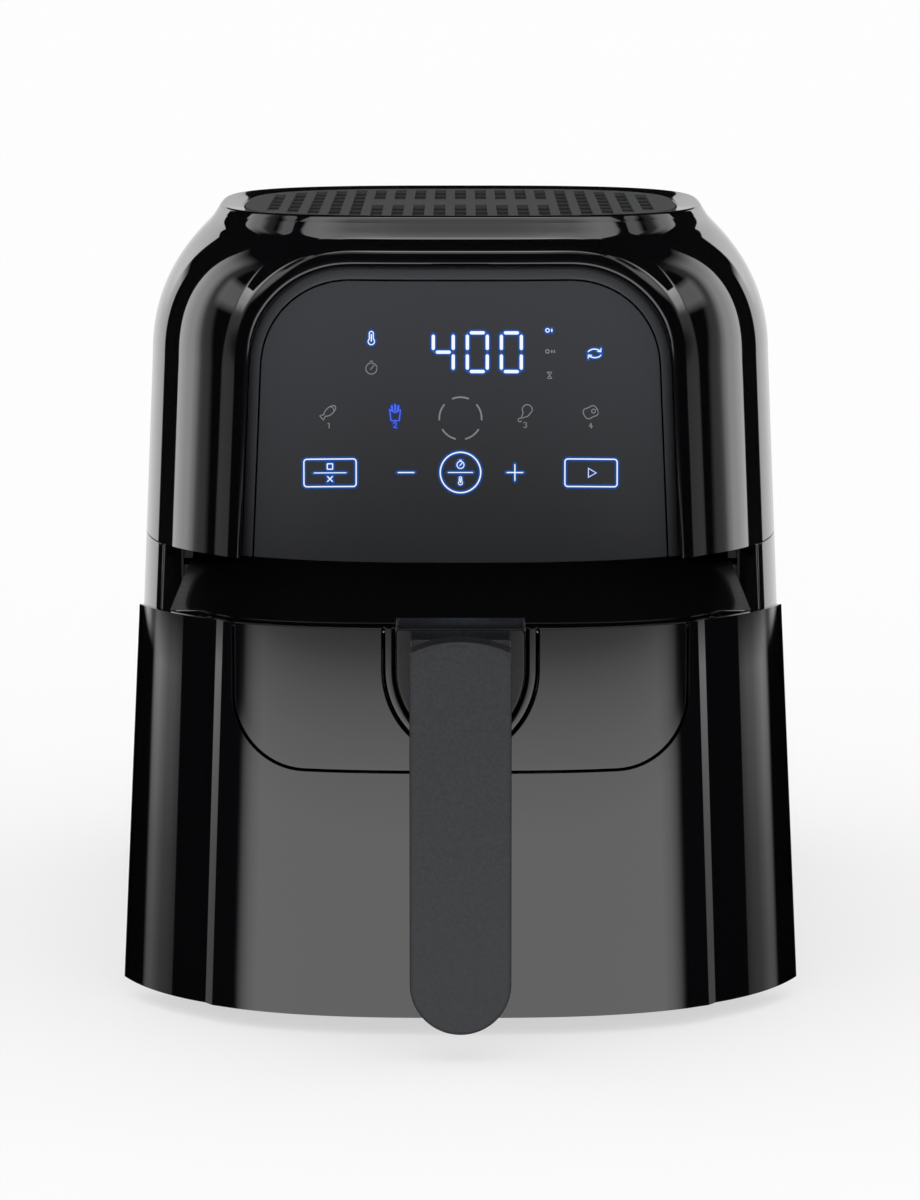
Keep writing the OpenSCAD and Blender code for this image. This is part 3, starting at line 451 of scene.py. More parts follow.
# satin from a fine spark-eroded mould; its upper part would catch the sky, so the base colour is painted
# lighter with height: a painted reflection
satin_black, tree, shader = finish("satin_ABS", Roughness=0.32, IOR=1.52)
grain(tree, shader, 2.5, 0.006, rough=(0.28, 0.38))
painted_sheen_by_height(tree, shader, "#343538", "#46474b")
surround.data.materials.append(satin_black)
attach(surround, "housing")
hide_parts("panel_bezel")

# ---- Touch glass ----
# One sheet of smoked acrylic, bent to the body's curve and bonded to the frame's ledge. Capacitive
# keys and the display shine through it.
GLASS_IN, GLASS_MIDDLE = FRAME_W + 0.6, np.array([0, 222.0])
glass_edge = beside(-GLASS_IN)
glass_edge[:, 1] = np.maximum(glass_edge[:, 1], PANEL_FOOT)
base_x = np.linspace(glass_edge[-1, 0], glass_edge[0, 0], 41)[1:-1]
glass_edge = np.concatenate([glass_edge, np.stack([base_x, 0 * base_x + PANEL_FOOT], -1), glass_edge[:1]])
toward = 1 - np.linspace(0, 1, 25)[None, :, None] ** 1.3
glass_flat = GLASS_MIDDLE + (glass_edge[:, None] - GLASS_MIDDLE) * toward
glass = shell("touch_glass", [patch(upright(glass_flat, lambda x, z: -body_y(x, z, SUNK)))],
              inside=(0, 0, 200))
thicken(glass, 2.2, 0.25)
smoked, tree, shader = finish("smoked_acrylic_glass", Roughness=0.42, IOR=1.3)
grain(tree, shader, 1.2, 0.002, rough=(0.38, 0.46))
# the glass's base colour is painted lighter towards the top in the same way: a painted reflection of the sky
painted_sheen_by_height(tree, shader, "#36373a", "#424348")
glass.data.materials.append(smoked)
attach(glass, "housing")
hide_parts("touch_panel")

# ---- Display and key symbols ----
# Light shining through the glass and pale print on it: a three-digit readout, ring, keys and
# simple pictograms. Each stroke is a thin ribbon on the glass's curve; the lit ones have a blue halo.
strokes = {"white": [], "blue": [], "dim": []}


def ink(layer, points, width=0.42, closed=False):
    """Adds a stroke: centre line in (x, z) mm, and its width in mm."""
    line = np.array(points, float)
    if closed:
        line = np.concatenate([line, line[:2]])
    strokes[layer].append((line, width, closed))


def bow(x, z, r, start, end, squash=1.0, steps=None):
    """Points of an arc round (x, z), angles in degrees from +x towards +z."""
    steps = steps or max(5, int(abs(end - start) / 9) + 1)
    a = np.radians(np.linspace(start, end, steps))
    return np.stack([x + r * np.cos(a), z + r * squash * np.sin(a)], -1)


def dense(points, step=1.0):
    """The same open line with a point at least every step mm."""
    points = np.array(points, float)
    out = [points[:1]]
    for a, b in zip(points[:-1], points[1:]):
        n = max(1, int(np.ceil(np.linalg.norm(b - a) / step)))
        out.append(a + (b - a) * (np.arange(1, n + 1) / n)[:, None])
    return np.concatenate(out)


def rounded_box(x, z, half, high, r):
    """Outline of an upright rectangle with rounded corners, as one closed line."""
    line = np.concatenate([bow(x + u * (half - r), z + v * (high - r), r, start, start + 90)
                           for u, v, start in ((1, 1, 0), (-1, 1, 90), (-1, -1, 180), (1, -1, 270))])
    return dense(np.concatenate([line, line[:1]]))[:-1]


# the readout: seven-segment digits with rounded bars
SEGMENT, DIGIT_Z = 1.4, 250.8
SEGMENT_ENDS = {"a": ((-3.2, 8.15), (3.2, 8.15)), "g": ((-3.2, 0), (3.2, 0)),
                "d": ((-3.2, -8.15), (3.2, -8.15)), "f": ((-4.2, 0.9), (-4.2, 7.4)),
                "b": ((4.2, 0.9), (4.2, 7.4)), "e": ((-4.2, -7.4), (-4.2, -0.9)),
                "c": ((4.2, -7.4), (4.2, -0.9))}
for centre, lit_segments in ((-7.25, "fgbc"), (7.1, "abcdef"), (21.45, "abcdef")):
    for key in lit_segments:
        a, b = np.array(SEGMENT_ENDS[key]) + [centre, DIGIT_Z]
        cap = (b - a) / np.linalg.norm(b - a) * SEGMENT / 2
        ink("white", dense([a + cap, b - cap]), SEGMENT)


def thermometer(layer, x, z, size=1.0, width=0.42):
    """A stem and a bulb, in outline, with the column inside."""
    stem = bow(x, z + 1.9 * size, 0.85 * size, 0, 180)
    bulb = bow(x, z - 1.5 * size, 1.35 * size, 129, 411)
    ink(layer, dense(np.concatenate([stem, bulb]), 0.6), width, closed=True)
    ink(layer, [(x, z + 1.4 * size), (x, z - 1.3 * size)], width * 1.3)


def clock(layer, x, z, r, width=0.42):
    """A round dial with a hand at two o'clock."""
    ink(layer, bow(x, z, r, 0, 354, steps=32), width, closed=True)
    ink(layer, [(x - 0.15 * r, z - 0.15 * r), (x + 0.45 * r, z + 0.55 * r)], width)
    ink(layer, [(x - 0.25 * r, z + r * 1.32), (x + 0.25 * r, z + r * 1.32)], width)


# beside it: thermometer and clock, two degree signs with dots, an hourglass, and turning arrows
thermometer("white", -37.6, 256.9)
clock("dim", -37.6, 244.0, 2.35, 0.38)
for layer, z, dots in (("white", 260.1, 1), ("dim", 251.2, 2)):
    ink(layer, bow(36.7, z, 0.75, 0, 345), 0.42, closed=True)
    for k in range(dots):
        ink(layer, [(38.5 + 1.1 * k, z - 0.35), (38.5 + 1.1 * k, z + 0.35)], 0.6)
ink("dim", dense([(36.6, 242.5), (38.6, 242.5), (36.6, 239.8), (38.6, 239.8), (36.6, 242.5)]), 0.38)
for turn in (0, 180):
    arc = bow(56.7, 250.6, 2.9, 25 + turn, 155 + turn, 0.62)
    ink("white", arc, 0.5)
    flip = 1 if turn == 0 else -1
    ink("white", [arc[0] + [-1.3 * flip, 0.1 * flip], arc[0], arc[0] + [0.1 * flip, 1.3 * flip]], 0.46)
for k in range(5):
    ink("dim", bow(0, 222.9, 8.95, 68.5 + 72 * k, 111.5 + 72 * k), 0.72)

# the presets: fish, fries cup (lit), drumstick and steak, each over its number
fish_turn = np.array([[0.77, 0.64], [-0.64, 0.77]])
fish = np.concatenate([[(-3.9, 1.3)], bow(0.7, 0, 3.0, 165, -165, 0.5, 24), [(-3.9, -1.3)]]) @ fish_turn
ink("dim", dense(fish + [-55.8, 225.8], 0.8), 0.42, closed=True)
ink("dim", (bow(0.9, 0, 1.1, 60, -60) @ fish_turn) + [-55.4, 226.2], 0.34)
for x in (-1.2, 0, 1.2):
    ink("blue", dense([(-27.6 + x, 226.3), (-27.6 + x * 1.15, 228.6 - abs(x) * 0.4)]), 0.8)
cup = [(-29.9, 226.6), (-29.3, 221.9), (-25.9, 221.9), (-25.3, 226.6), (-27.6, 225.3), (-29.9, 226.6)]
ink("blue", dense(cup), 0.5)
leg = np.concatenate([bow(28.2, 226.6, 2.1, -20, 215, steps=24), [(25.5, 222.8)]])
ink("dim", dense(leg, 0.8), 0.42)
ink("dim", bow(25.1, 222.2, 0.75, 60, 330), 0.42)
ink("dim", dense([(30.2, 225.9), (28.4, 223.8), (26.1, 223.1)], 0.8), 0.42)
steak = bow(55.1, 225.7, 3.2, 0, 350, 0.78, steps=30)
steak[:, 1] += 0.5 * np.sin((steak[:, 0] - 55.1) * 1.1)
ink("dim", steak, 0.42, closed=True)
ink("dim", bow(56.3, 226.2, 0.8, 0, 345), 0.4, closed=True)
NUMERALS = {1: [(-0.35, 0.7), (0.2, 1.1), (0.2, -1.1)],
            2: [(-0.65, 0.65), (-0.4, 1.0), (0.1, 1.1), (0.6, 0.8), (0.6, 0.3), (-0.7, -1.1), (0.75, -1.1)],
            3: [(-0.6, 0.95), (0, 1.1), (0.55, 0.8), (0.4, 0.2), (-0.1, 0.05), (0.5, -0.15), (0.6, -0.75),
                (0, -1.1), (-0.65, -0.9)],
            4: [(0.3, -1.1), (0.3, 1.1), (-0.7, -0.5), (0.8, -0.5)]}
for number, x in ((1, -55.8), (2, -27.6), (3, 27.4), (4, 55.1)):
    ink("blue" if number == 2 else "dim", dense(np.array(NUMERALS[number]) + [x, 220.1]), 0.4)

# keys: stop and cancel, less, time and temperature, more, start
KEY_Z = 200.0
for x in (-55.3, 55.35):
    ink("white", rounded_box(x, KEY_Z, 11.15, 5.85, 1.3), 0.5, closed=True)
ink("white", dense([(-62.0, KEY_Z), (-48.5, KEY_Z)]), 0.38)
ink("white", rounded_box(-55.3, KEY_Z + 2.7, 1.15, 1.15, 0.2), 0.45, closed=True)
for turn in (1, -1):
    ink("white", [(-56.3, KEY_Z - 2.6 - turn), (-54.3, KEY_Z - 2.6 + turn)], 0.45)
    ink("white", dense([(turn * 23.0 - 3.3, KEY_Z), (turn * 23.0 + 3.3, KEY_Z)]), 0.48)
ink("white", dense([(23.0, KEY_Z - 3.3), (23.0, KEY_Z + 3.3)]), 0.48)
ink("white", bow(0, KEY_Z, 8.55, 0, 354, steps=72), 0.55, closed=True)
ink("white", dense([(-5.1, KEY_Z), (5.1, KEY_Z)]), 0.38)
clock("white", 0, KEY_Z + 3.2, 1.5, 0.38)
thermometer("white", 0, KEY_Z - 3.5, 0.62, 0.34)
ink("white", [(54.2, KEY_Z - 1.9), (54.2, KEY_Z + 1.9), (57.5, KEY_Z)], 0.5, closed=True)


def ribbon(line, closed, offsets, lift):
    """Rows of points across a stroke, at offsets from its centre line, lifted off the glass; a
    round cap closes an open stroke's ends."""
    along = np.gradient(line, axis=0)
    if closed:
        along[0] = along[-1] = line[1] - line[-3]
    along /= np.maximum(np.linalg.norm(along, axis=1, keepdims=True), 1e-9)
    narrow = np.ones(len(line))
    if not closed:
        bend = np.radians(np.array([88, 62, 36, 12]))
        reach = np.max(offsets)
        first = line[0] - along[0] * reach * np.sin(bend)[:, None]
        last = line[-1] + along[-1] * reach * np.sin(bend[::-1])[:, None]
        line = np.concatenate([first, line, last])
        along = np.concatenate([along[:1].repeat(4, 0), along, along[-1:].repeat(4, 0)])
        narrow = np.concatenate([np.cos(bend), narrow, np.cos(bend[::-1])])
    aside = np.stack([-along[:, 1], along[:, 0]], -1)[:, None]
    flat = line[:, None] + aside * (np.array(offsets)[None, ::-1, None] * narrow[:, None, None])
    x, z = flat[..., 0], flat[..., 1]
    z = z - 0.152 * (body_y(0 * x, z, SUNK) - body_y(x, z, SUNK))
    return np.stack([x, -body_y(x, z, SUNK) - lift, z], -1)


def decal(name, drawn, material, halo=0.0, lift=0.08):
    """One mesh of strokes; with a halo width, a wider ribbon whose glow fades to nothing."""
    patches = []
    for line, width, closed in drawn:
        half = width / 2
        offsets = [-half - halo, -half, 0, half, half + halo] if halo else [-half, half]
        patches.append(patch(ribbon(line, closed, offsets, lift)))
    mesh = joined(name, patches)
    glow = [0, 1, 1, 1, 0] if halo else [1, 1]
    shine = mesh.attributes.new("glow", "FLOAT", "POINT")
    shine.data.foreach_set("value", np.tile(glow, len(mesh.vertices) // len(glow)).astype(float))
    thing = placed(name, mesh)
    thing.data.materials.append(material)
    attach(thing, "housing")


def ink_material(name, colour):
    """Light through the glass: an emission of one colour over a dark, smooth base."""
    return finish(name, Base_Color=rgb("#101114"), Roughness=0.3, Emission_Color=rgb(colour),
                  Emission_Strength=1.0)


white_light = ink_material("display_light", "#f4f9ff")[0]
blue_light = ink_material("blue_key_light", "#4a6cf0")[0]
dim_print = grained("grey_print", "#929497", 3.0, 0.002, Roughness=0.5)


def halo_material(name, colour, peak):
    """A glow that fades with the mesh's own glow value, clear at its edge."""
    material, tree, shader = ink_material(name, colour)
    fade = add(tree, "ShaderNodeAttribute", attribute_name="glow")
    rounded = add(tree, "ShaderNodeMath", {0: (fade, "Fac"), 1: 0.7}, operation="POWER")
    level = add(tree, "ShaderNodeMath", {0: (rounded, "Value"), 1: peak}, operation="MULTIPLY")
    tree.links.new(level.outputs["Value"], shader.inputs["Alpha"])
    return material


decal("display_halo", strokes["white"], halo_material("display_halo_light", "#1558b4", 0.95), 0.95, 0.04)
decal("key_halo", strokes["blue"], halo_material("key_halo_light", "#2a3fb0", 0.6), 0.6, 0.04)
decal("display_symbols", strokes["white"], white_light)
decal("lit_key_symbol", strokes["blue"], blue_light)
decal("printed_symbols", strokes["dim"], dim_print)

# ---- Drawer front ----
# The wrapped front of the drawer in gloss ABS. Its middle stands proud between two raking creases,
# the columns beside them fall back, and a window for the inset plate opens at the top.
PULL = 164.5                                    # how far the drawer is out
DRAWER_LOW, DRAWER_TOP = 7.0, 160.0
WINDOW, WINDOW_LOW, WINDOW_R = 89.6, 103.3, 28.1
CREASE_W, COLUMN_END = 2.9, 78.3                # width of the crease; depth where the columns end


def crease(z):
    """Half width of the proud middle: it widens downwards."""
    return 92.9 + (JOINT - z) * 0.035


def middle_front(x, z):
    """Front of the drawer's middle: the outline, proud by an amount that grows to the crease."""
    return -body_y(x, z) - PROUD * smooth(np.abs(x) / crease(z))


def column_front(x, z):
    """Front of the column beside the crease: set back, fading out over 40 mm."""
    past = np.abs(x) - crease(z) - CREASE_W
    return -body_y(x, z) + np.maximum(-PROUD, PROUD * (1 - past / 40))


turn = np.radians(np.linspace(0, 90, 19))
flat = np.linspace(0, WINDOW - WINDOW_R, 16)[:-1]
half_edge = np.concatenate([
    np.stack([flat, 0 * flat + WINDOW_LOW], -1),
    np.stack([WINDOW - WINDOW_R + WINDOW_R * np.sin(turn), WINDOW_LOW + WINDOW_R * (1 - np.cos(turn))], -1)])
under, under_top = np.concatenate([half_edge[:0:-1] * [-1, 1], half_edge]).T
level = np.linspace(0, 1, 13)[:, None]
under_z = DRAWER_LOW + (under_top - DRAWER_LOW)[None] * level
below = upright(np.stack([under + 0 * under_z, under_z], -1), middle_front)
side_z = np.concatenate([under_z[:, -1], np.linspace(WINDOW_LOW + WINDOW_R, DRAWER_TOP, 5)[1:]])
c = crease(side_z)
grow = (JOINT - side_z) * DRAFT
end_x = (HALF_W + grow) * other_axis(COLUMN_END / (HALF_D + grow), BODY_N)
first = WINDOW + 0 * c
spread = np.sin(np.radians(np.linspace(0, 90, 33)))
column_x = c[:, None] + CREASE_W + (end_x - c - CREASE_W)[:, None] * spread
column = np.stack([column_x, column_front(column_x, side_z[:, None])], -1)
legs = [np.stack([first, middle_front(first, side_z)], -1), np.stack([c, middle_front(c, side_z)], -1)]
flank = np.concatenate([
    legs[0][:, None], fillet(legs[0], legs[1], column[:, 0], 1.3, 6),
    fillet(legs[1], column[:, 0], column[:, 3], 1.3, 6), column[:, 3:]], axis=1)
flank = np.concatenate([flank, 0 * flank[..., :1] + side_z[:, None, None]], -1)
front = shell("drawer_front_shell", [patch(k - [0, PULL, 0]) for k in (below, flank, flank * [-1, 1, 1])],
              inside=(0, -PULL, 80))
thicken(front, WALL, 0.45)
front.data.materials.append(gloss_black)
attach(front, "drawer")
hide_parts("drawer_front")

# ---- Inset plate ----
# A separate gloss plate let into the drawer front round the handle, level with it and parted from
# it by a groove of about a millimetre. A lip behind it bears on the front.
INSET, INSET_LOW, INSET_R = 88.5, 104.4, 27.0
U_HALF, U_Z, U_DROP = 30.6, 144.0, 34.0


def u_line(half, drop, top, steps):
    """Half of a U from its right top to its lowest point: a straight leg, then a quarter ellipse."""
    a = np.radians(np.linspace(0, 90, steps))
    leg = np.linspace(top, U_Z, 9, endpoint=False)
    return np.concatenate([np.stack([half + 0 * leg, leg], -1),
                           np.stack([half * np.cos(a), U_Z - drop * np.sin(a)], -1)])


def both_sides(line):
    """A half line from right top to the middle, completed with its mirror image."""
    return np.concatenate([line, line[-2::-1] * [-1, 1]])


a = np.radians(np.linspace(0, 90, 16))
leg = np.linspace(DRAWER_TOP, INSET_LOW + INSET_R, 6, endpoint=False)
flat = np.linspace(INSET - INSET_R, 0, 8)[1:]
outer = np.concatenate([
    np.stack([INSET + 0 * leg, leg], -1),
    np.stack([INSET - INSET_R + INSET_R * np.cos(a), INSET_LOW + INSET_R - INSET_R * np.sin(a)], -1),
    np.stack([flat, INSET_LOW + 0 * flat], -1)])
inner = u_line(U_HALF, U_DROP, DRAWER_TOP, 20)
width = np.linspace(0, 1, 17)[None, :, None]
plate = both_sides(inner)[:, None] * (1 - width) + both_sides(outer)[:, None] * width
insert = shell("inset_plate", [patch(upright(plate, lambda x, z: middle_front(x, z) - PULL))],
               inside=(0, -PULL, 130))
thicken(insert, WALL, 0.45)
insert.data.materials.append(gloss_black)
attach(insert, "drawer")
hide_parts("front_insert")

# ---- Handle ----
# The handle's block sits in the recess of the inset plate, inside a glossy lip. An arm hollowed above
# reaches forward to the grip, a hanging bar with an arched top, moulded in fine-textured satin nylon.
LIP = rounded([[30.1, 4.5], [29.2, 0.4], [26.6, 0.4], [25.45, 4.5]], (0.5, 4), (0.5, 4))
lip_flat = np.stack([both_sides(u_line(half, U_DROP - U_HALF + half, DRAWER_TOP - 0.2, 24))
                     for half in LIP[:, 0]], 1)
lip = shell("handle_lip", [patch(upright(lip_flat, lambda x, z: middle_front(x, z) + LIP[:, 1] - PULL))],
            inside=(0, -PULL - 120, 130))
thicken(lip, 0.8, 0.15)
lip.data.materials.append(gloss_black)
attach(lip, "drawer")
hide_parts("handle_surround")

BLOCK_HALF, BLOCK_TOP, BLOCK_FACE = 25.2, 160.6, -144.7
BLOCK_MIDDLE = np.array([0, 140.0])
# from the block's back over a softened edge to its face's middle, as (inwards, behind the face)
BLOCK_RINGS = np.array([[0, 26.2], [0, 0.5], [0.35, 0.12], [0.35, 0], [1.2, 0], [6, 0], [12, 0], [18, 0],
                        [24, 0], [BLOCK_HALF, 0]])
block_edge = np.concatenate([
    both_sides(u_line(BLOCK_HALF, U_DROP - U_HALF + BLOCK_HALF, BLOCK_TOP, 24)),
    np.stack([np.linspace(-BLOCK_HALF, BLOCK_HALF, 21)[1:], np.full(20, BLOCK_TOP)], -1)])
share = 1 - BLOCK_RINGS[:, :1] / BLOCK_HALF
block = upright(BLOCK_MIDDLE + (block_edge[:, None] - BLOCK_MIDDLE) * share,
                lambda x, z: BLOCK_FACE + BLOCK_RINGS[:, 1] - PULL)

GRIP_FRONT, GRIP_BACK, GRIP_HALF = -187.5, -170.5, 19.4
ARM_HALF, ROOT_LOW = 19.2, 132.0
run = np.linspace(0, 1, 25)
reach = BLOCK_FACE + 1 - GRIP_BACK
hollow = np.stack([BLOCK_FACE + 1 - reach * run, BLOCK_TOP - 0.4 - 5.2 * np.sin(math.pi * run)], -1)
a = np.radians(90 * run)
belly_z = ROOT_LOW - 22 * (1 - np.sin(a))
belly = np.stack([GRIP_BACK - (JOINT - belly_z) * DRAFT * (1 - run) + reach * (1 - np.cos(a)), belly_z], -1)
ring = np.concatenate([hollow, belly])
ring = np.concatenate([ring, ring[:1]])
hub = ring.mean(0)
arm_x = np.array([-1, -1, -0.97, 0.97, 1, 1]) * ARM_HALF
arm_in = np.array([1, 0.04, 0, 0, 0.04, 1])
arm_ring = ring[None] + (hub - ring[None]) * arm_in[:, None, None]
arm = np.stack([arm_x[:, None] + 0 * arm_ring[..., 0], arm_ring[..., 0] - PULL, arm_ring[..., 1]], -1)

GRIP_TOP, GRIP_LOW, RISE = 162.1, 11.0, 4.4


def grip_line(shrunk):
    """The grip's outline, shrunk by a margin: an arched top, straight sides and a round lower end."""
    r, top, low = GRIP_HALF - shrunk, GRIP_TOP - shrunk, GRIP_LOW + shrunk
    arch_r = (r * r + RISE * RISE) / (2 * RISE)
    a = np.linspace(-1, 1, 33) * math.asin(r / arch_r)
    b = np.radians(np.linspace(0, 180, 41))
    straight = np.linspace(top - RISE, low + r, 16)[1:-1]
    arch = np.stack([arch_r * np.sin(a), top - arch_r * (1 - np.cos(a))], -1)
    right = np.stack([r + 0 * straight, straight], -1)
    end = np.stack([r * np.cos(b), low + r - r * np.sin(b)], -1)
    line = np.concatenate([arch, right, end, right[::-1] * [-1, 1]])
    return np.concatenate([line, line[:1]])


def grip_ring(line, deep):
    """A line (x, z) on the grip's front plane, which leans out below as the body does, set back by deep."""
    return upright(line, lambda x, z: GRIP_FRONT - (JOINT - z) * DRAFT + deep - PULL)


# from the front's middle over a chamfered edge, down the side and over the back, as (shrunk, deep)
GRIP_T = GRIP_BACK - GRIP_FRONT
GRIP_RINGS = [(18.5, 0), (12, 0), (6, 0), (1.9, 0), (1.1, 0.12), (0.35, 0.75), (0.06, 1.2), (0, 2.2),
              (0, GRIP_T - 3.5), (0.3, GRIP_T - 1.8), (1.2, GRIP_T - 0.5), (2.6, GRIP_T), (8, GRIP_T),
              (18.5, GRIP_T)]
rings = [grip_ring(grip_line(shrunk), deep) for shrunk, deep in GRIP_RINGS]
spine = np.stack([0 * rings[0][:, 2], np.clip(rings[0][:, 2], 31, 157)], -1)
grip_points = np.stack([grip_ring(spine, 0), *rings, grip_ring(spine, GRIP_T)])
# glass-filled nylon, spark-eroded on the face, which leaves a fine pale speckle; smooth behind it, where the
# colour is painted near-black as painted shade
nylon, tree, shader = finish("textured_nylon", Roughness=0.6, IOR=1.38)
speckle = grain(tree, shader, 0.8, 0.03, rough=(0.54, 0.68), detail=4.0)
mottle = add(tree, "ShaderNodeMapRange", {"Value": (speckle, "Fac"), "From Min": 0.3, "From Max": 0.7})
pale = add(tree, "ShaderNodeValToRGB", {"Fac": (mottle, "Result")})
pale.color_ramp.elements[0].color = rgb("#303134")
pale.color_ramp.elements[1].color = rgb("#3b3c40")
where = add(tree, "ShaderNodeTexCoord")
apart = add(tree, "ShaderNodeSeparateXYZ", {"Vector": (where, "Object")})
level = add(tree, "ShaderNodeMath", {0: (apart, "Z"), 1: -DRAFT, 2: (apart, "Y")}, operation="MULTIPLY_ADD")
FACE = (GRIP_FRONT - JOINT * DRAFT - PULL) / 1000
# painted shade: behind the front face, on the chamfer, sides and back, the base colour turns near-black
painted_shade_behind_face = add(tree, "ShaderNodeMapRange", {
    "Value": (level, "Value"), "From Min": FACE + 0.0006, "From Max": FACE + 0.0013})
speckle_and_painted_shade = add(tree, "ShaderNodeMix", {0: (painted_shade_behind_face, "Result"), 6: (pale, "Color"), 7: rgb("#17181a")},
               data_type="RGBA")
tree.links.new(speckle_and_painted_shade.outputs[2], shader.inputs["Base Color"])
grip = shell("grip", [patch(grip_points)], inside=(0, -340, 90))
grip.data.materials.append(nylon)
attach(grip, "drawer")
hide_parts("handle_grip")

satin_arm = grained("satin_nylon", "#121316", 1.5, 0.01, (0.26, 0.36), Roughness=0.3, IOR=1.53)
root = shell("handle_block", [patch(block), patch(arm)], inside=(0, -300, 150))
root.data.materials.append(satin_arm)
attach(root, "drawer")
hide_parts("handle_arm")

# ---- Pan ----
# Deep-drawn steel in dark ceramic coating: rounded corners, a flat flange that slides on the guide
# rails, and a rolled edge where the wall turns over into the flange.
PAN_HALF, PAN_DEEP, PAN_N, PAN_Y = 112.0, 114.0, 3.7, 4.5 - PULL
around = np.linspace(0, 2 * math.pi, 181)
FLANGE_Z = 153.9
pan_line = rounded([[-60, 23.5], [-7.6, 23.5], [0.1, FLANGE_Z], [3.5, FLANGE_Z]], (9, 8), (1.6, 6))[:-1]
pan_r = ring_r(around[None], PAN_HALF + pan_line[:, :1], PAN_DEEP + pan_line[:, :1], PAN_N)
pan_z = pan_line[:, 1:] + 0 * pan_r
# the flange is straight on the rails and at the back, round in front, and cut back at the handle
flange_r = np.minimum(118 / np.maximum(np.abs(np.sin(around)), 1e-6),
                      np.where(np.cos(around) < 0, 119 / np.maximum(-np.cos(around), 1e-6), 1e6))
flange_r = np.minimum(flange_r, ring_r(around, 135.8, 133.0, BODY_N))
at_handle = (np.abs(np.sin(around)) * 122 < 25.5) & (np.cos(around) > 0)
flange_r = np.where(at_handle, 122.7 / np.cos(around), flange_r)
pan_r = np.concatenate([0 * pan_r[:1], pan_r, [(pan_r[-1] + flange_r) / 2], [flange_r]])
pan_z = np.concatenate([pan_z[:1], pan_z, np.full((2, len(around)), FLANGE_Z)])
bowl = np.concatenate([polar(around, pan_r) + [0, PAN_Y], pan_z[..., None]], -1)
# its faces look up into the bowl, from a point far below, so that the wall lies outside them
pan = shell("drawer_pan", [patch(bowl)], inside=(0, PAN_Y, -5000))
coated = grained("dark_ceramic_coating", "#222326", 0.9, 0.008, (0.3, 0.42), 4.0, Roughness=0.34, IOR=1.5)
thicken(pan, 1.5, 0.3)
pan.data.materials.append(coated)
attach(pan, "drawer")
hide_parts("pan")


def dress(material, *names):
    """Puts one finish on CAD nodes whose shape is right as it is."""
    for name in names:
        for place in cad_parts[name].material_slots:
            place.material = material


# ---- Crisper tray ----
# A pressed and coated plate on four feet, with silicone bumpers that hold it in the pan.
tray_coat = grained("nonstick_coating", "#26272a", 1.1, 0.01, (0.35, 0.5), 4.0, Roughness=0.4, IOR=1.5)
silicone = grained("silicone_rubber", "#1c1c1e", 0.8, 0.01, Roughness=0.62, IOR=1.41)
dress(tray_coat, "crisper_tray")
dress(silicone, "tray_bumpers", "rubber_feet", "cord_gland")

# ---- Drawer's inner parts ----
# Moulded ABS cover and backing in the colour of the front, and the pan's steel bracket with its screws.
dress(gloss_black, "drawer_cap")
inner_black = grained("moulded_black_ABS", "#151517", 1.8, 0.008, (0.34, 0.46), Roughness=0.38, IOR=1.52)
dress(inner_black, "front_backing", "base_plate", "rear_vent", "guide_rail_left", "guide_rail_right",
      "interlock_switch", "cooling_fan")
zinc = grained("zinc_plated_steel", "#a4a6a8", 0.25, 0.01, (0.3, 0.44), 3.0, Metallic=1.0, Roughness=0.36)
dress(zinc, "pan_bracket", "handle_screws", "base_screws", "motor_screws", "motor_shaft", "fan_nut",
      "motor_plate", "motor_posts")

# ---- Oven chamber and bay ----
# Aluminised sheet steel, pressed for the chamber's hood: a dull grey with the faint flow of rolled sheet.
# The bay's folded liner and floor are dark steel.
sheet_steel = grained("aluminised_steel", "#6e7073", 0.3, 0.006, (0.36, 0.5), 3.0, axis_scale=(1, 0.15, 1),
                      Metallic=1.0, Roughness=0.42)
dress(sheet_steel, "chamber_liner", "fan_motor", "convection_fan")
dark_steel = grained("blackened_steel", "#141416", 0.3, 0.006, (0.4, 0.52), 3.0, Roughness=0.45, IOR=1.5)
dress(dark_steel, "bay_liner", "bay_floor")

# ---- Heater and its guard ----
# Sheathed steel heater, oxidised dark by use, and a chromed wire guard below it.
sheath = grained("oxidised_heater_sheath", "#4a4643", 0.5, 0.01, (0.42, 0.62), 4.0,
                 Metallic=1.0, Roughness=0.5)
dress(sheath, "heating_element")
chrome = grained("chromed_wire", "#b8babd", 0.6, 0.003, (0.18, 0.3), Metallic=1.0, Roughness=0.22)
dress(chrome, "element_guard", "temperature_probe")

# ---- Electrical pieces ----
# Glass-epoxy boards, the ceramic thermal cut-out and the switch's red plunger.
epoxy = grained("green_epoxy_board", "#2d5a3a", 0.7, 0.01, (0.3, 0.42), Roughness=0.35, IOR=1.55)
dress(epoxy, "display_board", "power_board")
ceramic = grained("steatite_ceramic", "#e4dfd2", 0.6, 0.01, (0.4, 0.55), Roughness=0.45, IOR=1.6)
dress(ceramic, "thermal_cutout")
red = grained("red_acetal", "#a8221c", 0.8, 0.005, (0.3, 0.4), Roughness=0.35, IOR=1.48)
dress(red, "interlock_plunger")

# ---- Air grille ----
# A flat plate in fine-textured black ABS dropped into the rim. Columns of slots open over recessed
# cross bars; the nine middle columns are parted by a plain bridge.
GRILLE_HALF, GRILLE_TOP, SLOT, SLOT_PITCH = 95.6, 305.2, 5.0, 9.15
REACH, BRIDGE = GRILLE_HALF - 6.5, (-16.0, 18.0)
slots = []
plate = bmesh.new()
ring = np.linspace(0, 2 * math.pi, 144, endpoint=False)
edge_r = ring_r(ring, GRILLE_HALF, GRILLE_HALF - 1.5, BODY_N + 0.5)
loops = [[(r * math.sin(t), -r * math.cos(t)) for r, t in zip(edge_r, ring)]]
for column in range(-9, 10):
    x = column * SLOT_PITCH
    span = REACH * float(other_axis(x / REACH, BODY_N + 0.5))
    for low, high in [(-span, BRIDGE[0]), (BRIDGE[1], span)] if abs(column) <= 4 else [(-span, span)]:
        loops.append([(x + SLOT / 2 * u, v) for u, v in ((-1, low), (1, low), (1, high), (-1, high))])
        slots.append((x, low, high))
